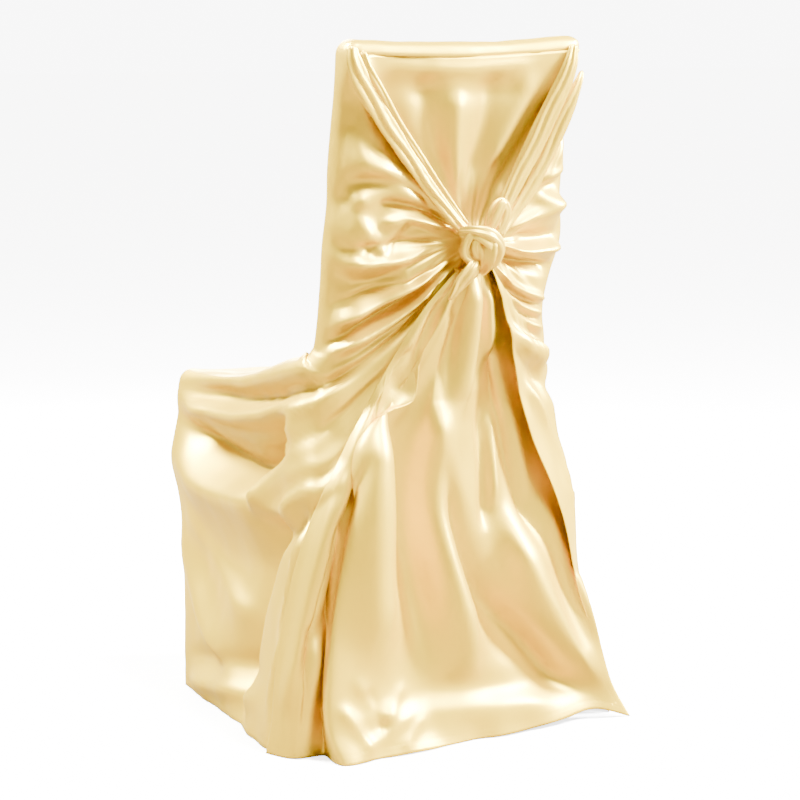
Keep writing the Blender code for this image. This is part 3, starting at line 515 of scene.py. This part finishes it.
# The panel behind: from the hood's strip, narrow at the knot, wide on the floor.
# Its ribs and folds are in millimetres, and all else is in metres.
panel = dict(
    rows=232, steps=14, depth=1.75,
    upper=(
        (0.672, 0.016, 0.041, 0.0180), (0.698, 0.017, 0.040, 0.0060), (0.708, -0.002, 0.056, 0.0000),
        (0.722, -0.040, 0.082, -0.0060), (0.750, -0.082, 0.108, -0.0085), (0.800, -0.122, 0.136, -0.0080),
        (0.860, -0.158, 0.166, -0.0050), (0.925, -0.168, 0.177, -0.0010), (0.9412, -0.170, 0.182, -0.0006),
    ),
    levels=(0.652, 0.600, 0.520, 0.430, 0.290, 0.150, 0.050, 0.000),
    ribs=(
        ("left edge", (-12, -58, -108, -158, -222, -254, -256, -262),
         (30, 28, 26, 24, 8, -6, -16, -24), 0),
        ("strip ridge", (-8, -48, -94, -150, -202, -232, -240, -246),
         (32, 32, 34, 36, 32, 26, 24, 22), 0),
        ("left trough", (-3, -36, -76, -136, -178, -196, -196, -200),
         (30, 27, 26, 24, 18, 14, 20, 28), 0),
        ("front edge", (0, -26, -70, -140, -184, -212, -216, -203),
         (32, 34, 38, 46, 52, 56, 66, 86), 0),
        ("left billow", (6, -18, -52, -104, -136, -150, -154, -150),
         (31, 30, 36, 48, 60, 62, 66, 82), 0),
        ("soft trough", (12, 0, -26, -58, -80, -80, -78, -80),
         (30, 24, 24, 30, 38, 44, 56, 78), 0),
        ("centre billow", (20, 18, 6, 0, -6, 2, 4, 4),
         (29, 30, 36, 42, 54, 62, 60, 70), 0),
        ("centre trough", (27, 36, 44, 52, 60, 74, 86, 88),
         (26, 20, 20, 22, 32, 42, 56, 68), 2),
        ("right billow", (34, 56, 78, 100, 118, 140, 166, 170),
         (22, 20, 22, 26, 40, 52, 56, 66), 9),
        ("right hollow", (40, 76, 104, 134, 160, 184, 212, 226),
         (18, 12, 10, 12, 26, 44, 54, 62), 15),
        ("right edge", (52, 94, 128, 162, 196, 224, 254, 278),
         (12, 8, 6, 10, 22, 46, 62, 76), 0),
    ),
    folds=(
        ("hood ridge", -150, 929, 0, 925, 150, 931, 10, 9, 2.2, 1.8, 1),
        ("hood hollow", -140, 902, 0, 896, 140, 904, 18, 14, -2.6, 2, 1),
        ("strip pleat", -152, 410, -218, 240, -254, 0, 6, 7, 8, 1.6, 1.4),
        ("strip gap", -138, 420, -204, 240, -238, 0, 6, 6, -12, 1.6, 1.4),
        ("corner pocket", -140, 868, -170, 900, -178, 938, 6, 10, -5, 1.6, 0.6),
        ("corner light", -120, 880, -150, 912, -160, 940, 10, 14, 4, 1.8, 0.8),
        ("upper dark one", -140, 920, -104, 862, -40, 780, 26, 28, -5.5, 2, 0.6),
        ("upper dark two", -60, 930, -45, 852, -6, 764, 24, 22, -5, 2, 0.6),
        ("upper light", -10, 915, -8, 836, 8, 750, 20, 20, 5, 2, 0.6),
        ("upper dark three", 50, 927, 38, 848, 26, 750, 22, 22, -5, 2, 0.6),
        ("upper right light", 110, 930, 84, 860, 40, 780, 22, 22, 5, 2, 0.6),
        ("upper right shade", 160, 905, 108, 812, 60, 738, 14, 14, -6, 1.9, 0.8),
        ("streak dark", -75, 560, -86, 380, -40, 53, 16, 24, -17, 1.8, 1.5),
        ("left billow", -112, 480, -140, 312, -124, 90, 26, 30, 13, 2, 1.3),
        ("centre light", -12, 540, -22, 309, 36, 63, 26, 22, 14, 1.6, 1.3),
        ("long diagonal", -34, 450, 58, 190, 255, 18, 24, 15, -18, 1.7, 1.5),
        ("right bright", 86, 330, 150, 160, 250, 45, 26, 26, 14, 1.6, 1),
        ("right dark", 76, 573, 90, 416, 156, 230, 18, 18, -14, 1.8, 1.4),
        ("knot light", 15, 655, 18, 560, 4, 440, 11, 14, 9, 1.5, 1.8),
        ("knot light right", 46, 640, 58, 573, 71, 520, 7, 7, 5, 1.6, 1.5),
        ("knot dark right", 36, 640, 38, 560, 44, 480, 8, 8, -5.5, 1.6, 1.5),
        ("short dark one", -30, 630, -49, 552, -60, 470, 8, 10, -3.2, 1.7, 1.6),
        ("short light one", -20, 620, -29, 532, -44, 430, 9, 10, 3.4, 1.7, 1.8),
        ("short dark two", 0, 610, -10, 526, -24, 430, 8, 9, -3.4, 1.7, 1.6),
        ("streak two", 55, 490, 57, 370, 52, 280, 10, 10, -6, 1.8, 1.2),
        ("light three", 78, 470, 75, 388, 68, 310, 10, 10, 5, 1.8, 1),
        ("pool crest", -215, 56, 0, 44, 262, 30, 26, 18, 3.6, 1.9, 0.8),
        ("above crest", -80, 84, 73, 70, 230, 56, 16, 22, -3.6, 1.9, 1),
        ("crumple one", -180, 120, -148, 74, -122, 42, 10, 14, 2.8, 1.6, 0.8),
        ("crumple two", -124, 36, -112, 66, -80, 94, 10, 12, 2.2, 1.7, 1),
        ("crumple three", -185, 4, -130, 30, -70, 50, 12, 11, 2.4, 1.7, 1),
        ("crumple four", -108, 2, -88, 24, -50, 46, 10, 11, 2, 1.7, 0.8),
        ("crumple shade", -156, 98, -140, 62, -130, 20, 10, 10, -3, 1.7, 0.8),
        ("hem fold", -206, 85, -176, 42, -152, 2, 9, 11, 3.6, 1.6, 1),
        ("right light", 150, 345, 200, 210, 262, 70, 14, 12, 6, 1.8, 1.2),
    ),
    uneven=((0.0030, 0.090, 4.4, 0.6),), crumple=((0.0030, 0.045, 2.6, 0.7),), crumpleReach=0.110,
    gather=dict(first=(19.0, 0.9), second=(37.0, 0.0), share=0.5, height=0.010, reach=0.160),
    knot=(0.028, 0.690), knotGap=0.010, kneeStand=0.024, kneeBlend=0.030, riseFade=0.250,
    followFrom=(0.890, 0.050), hemTop=0.620, clear=0.0040, outside=0.0024, outsideTop=0.655,
    outsideShare=0.62, slant=0.75, slantShare=0.12, freeEdge=0.220, back=0.300, reach=0.318,
    strip=0.938, farWall=0.250, blurs=5, spreads=2,
)


def panelPoints(share, height):
    ribs = [(np.array(xs) / 1000, np.array(stands) / 1000, rise) for _, xs, stands, rise in panel["ribs"]]
    last = len(ribs) - 1
    levels = panel["levels"]
    knee = levels[0]
    rows = [(knee, ribs[0][0][0], ribs[last][0][0], panel["kneeStand"])] + list(panel["upper"])
    upper = readTable(rows, height)
    blend = smooth((height - knee) / panel["kneeBlend"])
    lowStand = readTable([(k, rib[1][0]) for k, rib in enumerate(ribs)], share * last)[..., 0]
    stand = lowStand * (1 - blend) + upper[..., 2] * blend
    across = upper[..., 0] + (upper[..., 1] - upper[..., 0]) * share
    point = np.stack([across, rearPlane(height) - stand, height], -1)
    for r in range(share.shape[0]):
        level = float(height[r, 0])
        if level > knee:
            continue
        columns = []
        for index, (xs, stands, rise) in enumerate(ribs):
            values = readTable(list(zip(levels, xs, stands))[::-1], level)
            rise = rise / 1000 * float(smooth(1.0 - level / panel["riseFade"]))
            columns.append((index, *values, rise))
        row = readTable(columns, share[r] * last)
        point[r, :, 0] = row[:, 0]
        point[r, :, 1] = rearPlane(level) - row[:, 1]
        point[r, :, 2] = level + row[:, 2]
    return point


def gridNormals(point):
    normal = np.cross(np.gradient(point, axis=1), np.gradient(point, axis=0))
    return normal / np.maximum(np.linalg.norm(normal, axis=-1, keepdims=True), 1e-12)


# Each place of a grid, then its four neighbours.
def neighbours(field):
    field = np.pad(field, 1, mode="edge")
    return [field[1:-1, 1:-1], field[:-2, 1:-1], field[2:, 1:-1], field[1:-1, :-2], field[1:-1, 2:]]


# Spreads the largest or smallest moves to their neighbours and softens the rest.
def spreadMoves(field, choose):
    wide = field
    for _ in range(panel["spreads"]):
        wide = choose(neighbours(wide), 0)
    for _ in range(panel["blurs"]):
        near = neighbours(wide)
        wide = (near[0] + sum(near)) / 6
    return choose([field, wide], 0)


# Keeps the lower left of the panel outside the cover and the rest of it inside.
def clearPanel(point, share, height, tree):
    shift = np.array([body["centre"][0], body["centre"][1], 0.0])
    need = np.zeros(share.shape)
    direction = np.zeros(share.shape + (3,))
    for r, c in np.ndindex(share.shape):
        s, h = share[r, c], height[r, c]
        outside = h < panel["outsideTop"] and s < panel["outsideShare"]
        turn = panel["slant"] * float(fall(s, 0.0, panel["slantShare"])) if outside else 0.0
        inward = Vector((turn, 1.0, 0.0)).normalized()
        direction[r, c] = inward
        start = Vector(point[r, c] - shift) - inward * panel["back"]
        hit = tree.ray_cast(start, inward, panel["reach"])
        if hit[0] is None or h > panel["strip"] or (not outside and h < panel["freeEdge"]):
            continue
        depth = (hit[0] - start).length - panel["back"]
        if outside:
            need[r, c] = min(0.0, depth - panel["outside"])
        elif abs(hit[1].y) >= panel["farWall"]:
            need[r, c] = max(0.0, depth + panel["clear"])
    keep = (height < panel["outsideTop"]) & (share < panel["outsideShare"])
    outwards = spreadMoves(np.minimum(need, 0), np.min)
    inwards = spreadMoves(np.maximum(need, 0), np.max)
    return point + direction * np.where(keep, outwards, inwards)[..., None]


def makePanel(coverSheet, material):
    shell = coverSheet.modifiers["cloth"]
    shell.show_viewport = False
    tree = BVHTree.FromObject(coverSheet, bpy.context.evaluated_depsgraph_get())
    shell.show_viewport = True
    columns = (len(panel["ribs"]) - 1) * panel["steps"]
    heights = np.linspace(0, panel["upper"][-1][0], panel["rows"] + 1)
    share, height = np.meshgrid(np.linspace(0, 1, columns + 1), heights)
    point = panelPoints(share, height)
    flat = point.reshape(-1, 3)
    relief = foldRelief(flat[:, 0], flat[:, 2], panel["folds"]) + uneven(flat, panel["uneven"])
    crumple = uneven(flat, panel["crumple"]).reshape(share.shape)
    relief = relief.reshape(share.shape) + smooth(1.0 - height / panel["crumpleReach"]) * crumple
    span = np.abs(point[..., 2] - panel["knot"][1])
    angle = np.arctan2(point[..., 0] - panel["knot"][0], span + panel["knotGap"])
    relief += gatherWave(angle, span, panel["gather"])
    point = point + gridNormals(point) * relief[..., None] * panel["depth"]
    start, reach = panel["followFrom"]
    hood = readTable(body["hood"], point[..., 0])[..., 0] + cover["hoodRise"]
    point[..., 2] += smooth((height - start) / reach) * hood
    point = clearPanel(point, share, height, tree)
    point[..., 2] = np.maximum(point[..., 2], body["lowest"])
    widths = np.linalg.norm(np.diff(point, axis=1), axis=-1)
    fromLeft = np.concatenate([np.zeros((len(widths), 1)), np.cumsum(widths, 1)], 1)
    edge = np.minimum(np.minimum(fromLeft, fromLeft[:, -1:] - fromLeft), height)
    edge = np.where(height < panel["hemTop"], edge, height)
    mesh = bmesh.new()
    bmesh.ops.create_grid(mesh, x_segments=columns, y_segments=panel["rows"], size=0.5)
    hem = mesh.verts.layers.float.new("hem")
    for v in mesh.verts:
        c = round((v.co.x + 0.5) * columns)
        r = round((v.co.y + 0.5) * panel["rows"])
        v.co = point[r, c]
        v[hem] = float(edge[r, c])
    return finishPiece("panelSheet", mesh, material, body["cloth"])


# Joins rings of points into a closed tube.
def makeTube(name, rings, material):
    mesh = bmesh.new()
    hem = mesh.verts.layers.float.new("hem")
    loops = [[mesh.verts.new(p) for p in ring] for ring in rings]
    for near, far in zip(loops, loops[1:]):
        for k in range(len(near)):
            n = (k + 1) % len(near)
            mesh.faces.new((near[k], near[n], far[n], far[k]))
    mesh.faces.new(loops[0][::-1])
    mesh.faces.new(loops[-1])
    for v in mesh.verts:
        v[hem] = noHem
    bmesh.ops.recalc_face_normals(mesh, faces=mesh.faces)
    return finishPiece(name, mesh, material)


# Gathered strands of cloth. A row of a strand holds, in millimetres, the place across, the
# stand-off from the rear plane, the height, and half the width and thickness.
noHem = 1.0
strandShape = dict(around=36, pitch=0.0030, rounding=0.004, tip=0.1, sway=0.4, swayRate=60.0)
strands = dict(
    bandLeft=dict(
        rows=(
            (-180, 0, 958, 6, 4), (-178, 6, 936, 10, 5), (-162, 9, 904, 12, 5.2),
            (-120, 12, 848, 11, 5.2), (-72, 17, 788, 9, 5.2), (-32, 22, 742, 7.5, 5.2),
            (-6, 28, 714, 6.5, 5.2), (12, 32, 702, 5, 5),
        ),
        pleats=5, pleatDepth=0.30, seed=0.4,
    ),
    bandLeftInner=dict(
        rows=(
            (-162, 0, 950, 4.5, 3.4), (-156, 6, 930, 5, 4), (-138, 9, 902, 5.2, 4.2),
            (-98, 11, 846, 5, 4.2), (-52, 15, 788, 4.4, 4.2), (-16, 20, 742, 4, 4.2),
            (6, 26, 714, 3.6, 4),
        ),
        pleats=3, pleatDepth=0.20, seed=1.4,
    ),
    bandRightInner=dict(
        rows=(
            (172, 0, 958, 5, 3.6), (164, 6, 930, 9.5, 5), (147, 9, 890, 12, 5.6),
            (119, 12, 836, 12.5, 5.8), (90, 16, 782, 11, 6), (63, 22, 736, 8.5, 6),
            (50, 28, 708, 6.5, 5.5),
        ),
        pleats=7, pleatDepth=0.32, seed=2.2,
    ),
    bandRightOuter=dict(
        rows=(
            (188, 2, 922, 2.8, 2.2), (180, 7, 906, 5.6, 4.2), (165, 11, 874, 9, 5),
            (141, 12, 822, 10, 5.2), (111, 16, 766, 9, 5.4), (78, 22, 724, 7, 5.4),
            (56, 28, 700, 5.5, 5),
        ),
        pleats=5, pleatDepth=0.30, seed=3.0,
    ),
    loopFold=dict(
        rows=(
            (32, 36, 700, 6.4, 4.4), (34, 36, 718, 7.2, 4.4), (40, 34, 736, 7, 4.2),
            (52, 32, 746, 6.4, 4.2), (64, 30, 736, 6.4, 4.2), (62, 30, 718, 6.4, 4.4),
            (52, 30, 700, 5.4, 4.4),
        ),
        pleats=3, pleatDepth=0.16, seed=0.9,
    ),
    swirlOne=dict(
        rows=(
            (22, 40, 712, 5, 4), (6, 46, 708, 6, 5), (-6, 46, 696, 6, 5.5), (-8, 45, 680, 6, 5.5),
            (2, 46, 668, 5.5, 5), (14, 44, 662, 4, 4),
        ),
        pleats=4, pleatDepth=0.14, seed=0.0,
    ),
    swirlTwo=dict(
        rows=(
            (26, 42, 704, 4, 4), (12, 50, 700, 5, 4.5), (4, 51, 690, 5, 4.5), (8, 50, 678, 5, 4.5),
            (20, 46, 672, 4, 4),
        ),
        pleats=4, pleatDepth=0.14, seed=0.7,
    ),
    crossBand=dict(
        rows=(
            (-14, 34, 708, 5, 4), (4, 49, 707, 8, 5), (24, 56, 699, 11.5, 5.6),
            (38, 54, 684, 11.5, 5.6), (40, 47, 668, 8.5, 5), (30, 38, 656, 5, 4),
        ),
        pleats=5, pleatDepth=0.34, seed=0.2,
    ),
    tailLeft=dict(
        rows=(
            (12, 46, 668, 6, 4), (4, 51, 660, 9, 5), (-4, 51, 650, 10.5, 5), (-11, 48, 640, 11.5, 4.4),
            (-18, 46, 628, 10, 3.6), (-25, 43, 616, 6, 2.2),
        ),
        pleats=5, pleatDepth=0.34, seed=0.5, twist=0.8,
    ),
    tailUpper=dict(
        rows=(
            (30, 36, 704, 7, 4), (36, 38, 716, 7.8, 4.4), (40, 41, 728, 8, 4.4), (47, 42, 742, 7, 4),
            (53, 42, 750, 4.5, 2.6),
        ),
        pleats=4, pleatDepth=0.14, seed=0.3,
    ),
)


# A strand lofted along its table, with lengthwise pleats and rounded ends.
def makeStrand(name, material, rows, pleats, pleatDepth, seed, twist=0.0):
    table = np.array(rows) / 1000
    spot = np.stack([table[:, 0], rearPlane(table[:, 2]) - table[:, 1], table[:, 2]], 1)
    size = np.concatenate([[0.0], np.cumsum(np.linalg.norm(np.diff(spot, axis=0), axis=1))])
    length = size[-1]
    count = max(6, int(length / strandShape["pitch"]))
    t = np.linspace(0, length, count + 1)
    path = readTable(np.concatenate([size[:, None], spot, table[:, 3:5]], 1), t)
    centre = path[:, :3]
    ahead = np.gradient(centre, axis=0)
    ahead /= np.linalg.norm(ahead, axis=1, keepdims=True)
    theta = np.linspace(0, 2 * math.pi, strandShape["around"], endpoint=False)
    rings = []
    for i in range(count + 1):
        across = np.cross(ahead[i], (0.0, -1.0, 0.0))
        across /= max(np.linalg.norm(across), 1e-9)
        out = np.cross(across, ahead[i])
        turn = twist * i / count
        a = across * math.cos(turn) + out * math.sin(turn)
        b = out * math.cos(turn) - across * math.sin(turn)
        half, thick = path[i, 3], path[i, 4]
        short = max(0.0, 1.0 - min(t[i], length - t[i]) / strandShape["rounding"])
        cap = strandShape["tip"] + (1.0 - strandShape["tip"]) * math.sqrt(1.0 - short**2)
        sway = seed + strandShape["sway"] * math.sin(t[i] * strandShape["swayRate"] + seed)
        wave = 1.0 + pleatDepth * (2.0 * np.abs(np.sin(theta * pleats / 2 + sway)) - 1.2)
        reach = a * half * np.cos(theta)[:, None] + b * thick * np.sin(theta)[:, None]
        rings.append(centre[i] + reach * wave[:, None] * cap)
    return makeTube(name, rings, material)


# The folded band over the knot. A row holds the angle around it, then the place across, half
# the width, the radius and half the thickness. A crease runs from its top corner to its point.
wrap = dict(
    table=(
        (-66, 0.016, 0.018, 0.020, 0.0050), (-44, 0.019, 0.025, 0.026, 0.0060),
        (-15, 0.025, 0.027, 0.030, 0.0070), (10, 0.030, 0.023, 0.031, 0.0070),
        (34, 0.032, 0.017, 0.031, 0.0065), (58, 0.032, 0.010, 0.030, 0.0055),
        (78, 0.032, 0.005, 0.027, 0.0040),
    ),
    stations=40, around=56, centreZ=0.686, stand=0.018, flat=(0.85, 0.7), crease=0.55,
    ridge=(0.0070, 0.24, 1.2), hollow=(0.0080, 0.5), pleat=(0.0044, 4.2, 3.4, 0.0020), faceRate=1.6,
)


def makeWrap(material):
    first, last = wrap["table"][0][0], wrap["table"][-1][0]
    hub = np.array([0.0, float(rearPlane(wrap["centreZ"])) - wrap["stand"], wrap["centreZ"]])
    theta = np.linspace(0, 2 * math.pi, wrap["around"], endpoint=False)
    across, raised = np.cos(theta), np.sin(theta)
    wideShape = np.sign(across) * np.abs(across) ** wrap["flat"][0]
    highShape = np.sign(raised) * np.abs(raised) ** wrap["flat"][1]
    ridgeSize, ridgeWidth, sharp = wrap["ridge"]
    hollowSize, hollowReach = wrap["hollow"]
    pleatSize, pleatRate, pleatTurn, pleatDrop = wrap["pleat"]
    rings = []
    for share in np.arange(wrap["stations"] + 1) / wrap["stations"]:
        angle = first + (last - first) * share
        centre, half, radius, thick = readTable(wrap["table"], angle)
        turn = math.radians(-angle)
        out = np.array([0.0, -math.cos(turn), math.sin(turn)])
        away = across - (wrap["crease"] - share)
        ridge = ridgeSize * np.exp(-((np.abs(away) / ridgeWidth) ** sharp))
        ridge -= hollowSize * smooth(away / hollowReach)
        pleat = pleatSize * np.abs(np.sin(across * pleatRate + pleatTurn * share)) - pleatDrop
        lift = radius + thick * highShape + smooth(raised * wrap["faceRate"]) * (ridge + pleat)
        middle = hub + (centre, 0.0, 0.0)
        rings.append(middle + np.outer(half * wideShape, (1.0, 0.0, 0.0)) + lift[:, None] * out)
    return makeTube("knotWrap", rings, material)


# The knot's filling, which closes the view through it from the side.
core = dict(centre=(0.026, 0.014, 0.686), half=(0.025, 0.028, 0.025), rings=24)


def makeCore(material):
    mesh = bmesh.new()
    bmesh.ops.create_uvsphere(mesh, u_segments=core["rings"] * 2, v_segments=core["rings"], radius=1.0)
    bmesh.ops.scale(mesh, verts=mesh.verts, vec=core["half"])
    x, stand, height = core["centre"]
    bmesh.ops.translate(mesh, verts=mesh.verts, vec=(x, float(rearPlane(height)) - stand, height))
    hem = mesh.verts.layers.float.new("hem")
    for v in mesh.verts:
        v[hem] = noHem
    return finishPiece("knotCore", mesh, material)


# A shader node, with the values of its inputs and its settings.
def addNode(tree, kind, inputs=None, **settings):
    node = tree.nodes.new("ShaderNode" + kind)
    for name, value in settings.items():
        setattr(node, name, value)
    setInputs(node, inputs or {})
    return node


def setInputs(node, inputs):
    for name, value in inputs.items():
        node.inputs[name].default_value = value


# Satin: scales of the weave's textures, and the stitched row's distance from the hem and widths.
weave = dict(
    threads=420.0, distortion=1.2, slubs=160.0, slubStretch=(6.0, 6.0, 0.5), clouds=9.0, dashes=95.0,
    dashShare=0.35, row=0.0125, line=0.0011, ditch=0.0030, threadHigh=0.35, slubHigh=0.5,
    ditchDeep=1.6, stitchHigh=1.2,
)


# Shared effect: satin weave, slubs and stitched hem, as height, tone and roughness.
def makeWeave():
    group = bpy.data.node_groups.new("satinWeave", "ShaderNodeTree")
    for name in ("Height", "Tone", "Rough"):
        group.interface.new_socket(name=name, in_out="OUTPUT", socket_type="NodeSocketFloat")
    links = group.links
    result = group.nodes.new("NodeGroupOutput")
    spot = addNode(group, "TexCoord").outputs["Object"]

    def sums(kind, a, b=None, clamp=False):
        node = addNode(group, "Math", operation=kind, use_clamp=clamp)
        for socket, value in zip(node.inputs, (a, b)):
            if isinstance(value, float):
                socket.default_value = value
            elif value is not None:
                links.new(value, socket)
        return node.outputs[0]

    def texture(kind, vector, inputs, **settings):
        node = addNode(group, kind, inputs, **settings)
        links.new(vector, node.inputs["Vector"])
        return node.outputs[0 if kind == "Mapping" else "Fac"]

    bands = dict(wave_type="BANDS", bands_direction="DIAGONAL")
    threads = {"Scale": weave["threads"], "Distortion": weave["distortion"], "Detail": 1.0}
    wave = texture("TexWave", spot, threads, **bands)
    dash = texture("TexWave", spot, {"Scale": weave["dashes"]}, **bands)
    stretched = texture("Mapping", spot, {"Scale": weave["slubStretch"]})
    slub = texture("TexNoise", stretched, {"Scale": weave["slubs"], "Detail": 3.0})
    cloud = texture("TexNoise", spot, {"Scale": weave["clouds"], "Detail": 2.0})
    hem = addNode(group, "Attribute", attribute_name="hem")
    away = sums("ABSOLUTE", sums("SUBTRACT", hem.outputs["Fac"], weave["row"]))
    line = sums("SUBTRACT", 1.0, sums("DIVIDE", away, weave["line"]), clamp=True)
    ditch = sums("SUBTRACT", 1.0, sums("DIVIDE", away, weave["ditch"]), clamp=True)
    stitch = sums("MULTIPLY", line, sums("GREATER_THAN", dash, weave["dashShare"]))
    height = sums("MULTIPLY", wave, weave["threadHigh"])
    height = sums("ADD", height, sums("MULTIPLY", slub, weave["slubHigh"]))
    height = sums("SUBTRACT", height, sums("MULTIPLY", ditch, weave["ditchDeep"]))
    height = sums("ADD", height, sums("MULTIPLY", stitch, weave["stitchHigh"]))
    tone = sums("MULTIPLY", sums("ADD", slub, cloud), 0.5)
    links.new(height, result.inputs["Height"])
    links.new(tone, result.inputs["Tone"])
    links.new(tone, result.inputs["Rough"])
    return group


satin = dict(
    pale=(0.762, 0.515, 0.010, 1.0), deep=(0.695, 0.470, 0.004, 1.0),
    rough=(0.35, 0.43), roughFrom=(0.3, 0.7), bump=0.00006, metal=0.74, tieLighter=0.008,
)


def makeSatin(name, group, lighter=0.0):
    material = bpy.data.materials.new(name)
    material.use_nodes = True
    tree, links = material.node_tree, material.node_tree.links
    shader = tree.nodes["Principled BSDF"]
    setInputs(shader, {"Metallic": satin["metal"]})
    effect = addNode(tree, "Group", node_tree=group)
    pale = [c + lighter for c in satin["pale"][:3]] + [1.0]
    tint = addNode(tree, "Mix", data_type="RGBA")
    setInputs(tint, {"A": satin["deep"], "B": pale})
    links.new(effect.outputs["Tone"], tint.inputs["Factor"])
    links.new(tint.outputs["Result"], shader.inputs["Base Color"])
    (fromLow, fromHigh), (low, high) = satin["roughFrom"], satin["rough"]
    reach = {"From Min": fromLow, "From Max": fromHigh, "To Min": low, "To Max": high}
    spread = addNode(tree, "MapRange", reach)
    links.new(effect.outputs["Rough"], spread.inputs["Value"])
    links.new(spread.outputs["Result"], shader.inputs["Roughness"])
    bump = addNode(tree, "Bump", {"Distance": satin["bump"], "Strength": 1.0})
    links.new(effect.outputs["Height"], bump.inputs["Height"])
    links.new(bump.outputs["Normal"], shader.inputs["Normal"])
    return material


weaveGroup = makeWeave()
satinMaterial = makeSatin("goldSatin", weaveGroup)
tieMaterial = makeSatin("goldSatinTie", weaveGroup, satin["tieLighter"])
coverSheet = makeCover(satinMaterial)
print("cover made")
panelSheet = makePanel(coverSheet, satinMaterial)
print("panel made")
wrapPiece = makeWrap(tieMaterial)
made = {}
for strandName, facts in strands.items():
    strandMaterial = satinMaterial if strandName.startswith("band") else tieMaterial
    made[strandName] = makeStrand(strandName, strandMaterial, **facts)
print("knot made")

bands = [made[n] for n in ("bandLeft", "bandLeftInner", "bandRightInner", "bandRightOuter")]
knotPieces = [made[n] for n in ("loopFold", "swirlOne", "swirlTwo", "crossBand")] + [makeCore(tieMaterial)]
for piece in [coverSheet, panelSheet] + bands:
    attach(piece, "root")
for piece in [wrapPiece, made["tailLeft"], made["tailUpper"]] + knotPieces:
    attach(piece, "root")
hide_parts("cover")
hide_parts("back_panel")
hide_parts("knot")
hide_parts("tie_end_left")
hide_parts("tie_end_upper")

# The floor looks pale to the camera and is darker and warmer to the light that bounces off it.
studio = dict(
    floorSize=60.0, floorSeen=(0.90, 0.90, 0.91, 1.0), floorBounced=(0.12, 0.098, 0.060, 1.0),
    floorRough=0.9, floorGlow=3.2, glow=(1.0, 0.93, 0.80, 1.0), glowPower=0.90, backdropPower=8.6,
    sun=dict(place=(0.3, -1.3, 2.0), power=20.0, angle=14.0), aim=(0.0, 0.0, 0.45),
    lamps=(
        ("key", (2.9, -1.6, 2.3), (0.7, 1.0), 2300), ("side", (-1.8, 1.1, 3.1), (0.6, 1.0), 1700),
        ("front", (0.9, 2.8, 1.9), (0.9, 1.4), 220),
    ),
)


white = (1.0, 1.0, 1.0, 1.0)


# Puts a light or the camera in its place, facing along a direction.
def placeItem(name, data, place, facing):
    item = bpy.data.objects.new(name, data)
    bpy.context.scene.collection.objects.link(item)
    item.location = place
    item.rotation_mode = "QUATERNION"
    item.rotation_quaternion = facing.to_track_quat("-Z", "Y")
    return item


def makeFloor():
    data = bpy.data.meshes.new("floor")
    mesh = bmesh.new()
    bmesh.ops.create_grid(mesh, x_segments=1, y_segments=1, size=studio["floorSize"])
    mesh.to_mesh(data)
    mesh.free()
    floor = bpy.data.objects.new("floor", data)
    bpy.context.scene.collection.objects.link(floor)
    material = bpy.data.materials.new("paleFloor")
    material.use_nodes = True
    tree, links = material.node_tree, material.node_tree.links
    shader = tree.nodes["Principled BSDF"]
    setInputs(shader, {"Roughness": studio["floorRough"], "Emission Color": white})
    seen = addNode(tree, "LightPath").outputs["Is Camera Ray"]
    shade = addNode(tree, "Mix", data_type="RGBA")
    setInputs(shade, {"A": studio["floorBounced"], "B": studio["floorSeen"]})
    links.new(seen, shade.inputs["Factor"])
    links.new(shade.outputs["Result"], shader.inputs["Base Color"])
    glow = addNode(tree, "Math", {1: studio["floorGlow"]}, operation="MULTIPLY")
    links.new(seen, glow.inputs[0])
    links.new(glow.outputs[0], shader.inputs["Emission Strength"])
    data.materials.append(material)


def makeLights():
    world = bpy.data.worlds.new("studio")
    bpy.context.scene.world = world
    world.use_nodes = True
    tree, links = world.node_tree, world.node_tree.links
    glow = tree.nodes["Background"]
    setInputs(glow, {"Color": studio["glow"], "Strength": studio["glowPower"]})
    backdrop = addNode(tree, "Background", {"Color": white, "Strength": studio["backdropPower"]})
    mix = addNode(tree, "MixShader")
    links.new(addNode(tree, "LightPath").outputs["Is Camera Ray"], mix.inputs["Fac"])
    links.new(glow.outputs["Background"], mix.inputs[1])
    links.new(backdrop.outputs["Background"], mix.inputs[2])
    links.new(mix.outputs["Shader"], tree.nodes["World Output"].inputs["Surface"])
    sun = studio["sun"]
    data = bpy.data.lights.new("top", "SUN")
    data.energy = sun["power"]
    data.angle = math.radians(sun["angle"])
    placeItem("top", data, sun["place"], -Vector(sun["place"]))
    for name, place, size, power in studio["lamps"]:
        data = bpy.data.lights.new(name, "AREA")
        data.shape = "RECTANGLE"
        data.size, data.size_y = size
        data.energy = power
        placeItem(name, data, place, Vector(studio["aim"]) - Vector(place))


# The photograph's camera, from behind and to the left. The focal length is in pixels of its frame.
view = dict(
    azimuth=-31.0, pitch=8.0, distance=3.8, aim=(0.065, 0.0, 0.44), focal=2590.0, frame=800.0, sensor=36.0,
)


def makeCamera():
    azimuth, pitch = math.radians(view["azimuth"]), math.radians(view["pitch"])
    aim = Vector(view["aim"]) - Vector((body["centre"][0], body["centre"][1], 0.0))
    level = math.cos(pitch)
    back = Vector((math.sin(azimuth) * level, -math.cos(azimuth) * level, math.sin(pitch)))
    data = bpy.data.cameras.new("photo")
    data.sensor_width = view["sensor"]
    data.lens = view["focal"] / view["frame"] * view["sensor"]
    bpy.context.scene.camera = placeItem("photo", data, aim + back * view["distance"], -back)


makeFloor()
makeLights()
makeCamera()
print("stage made")
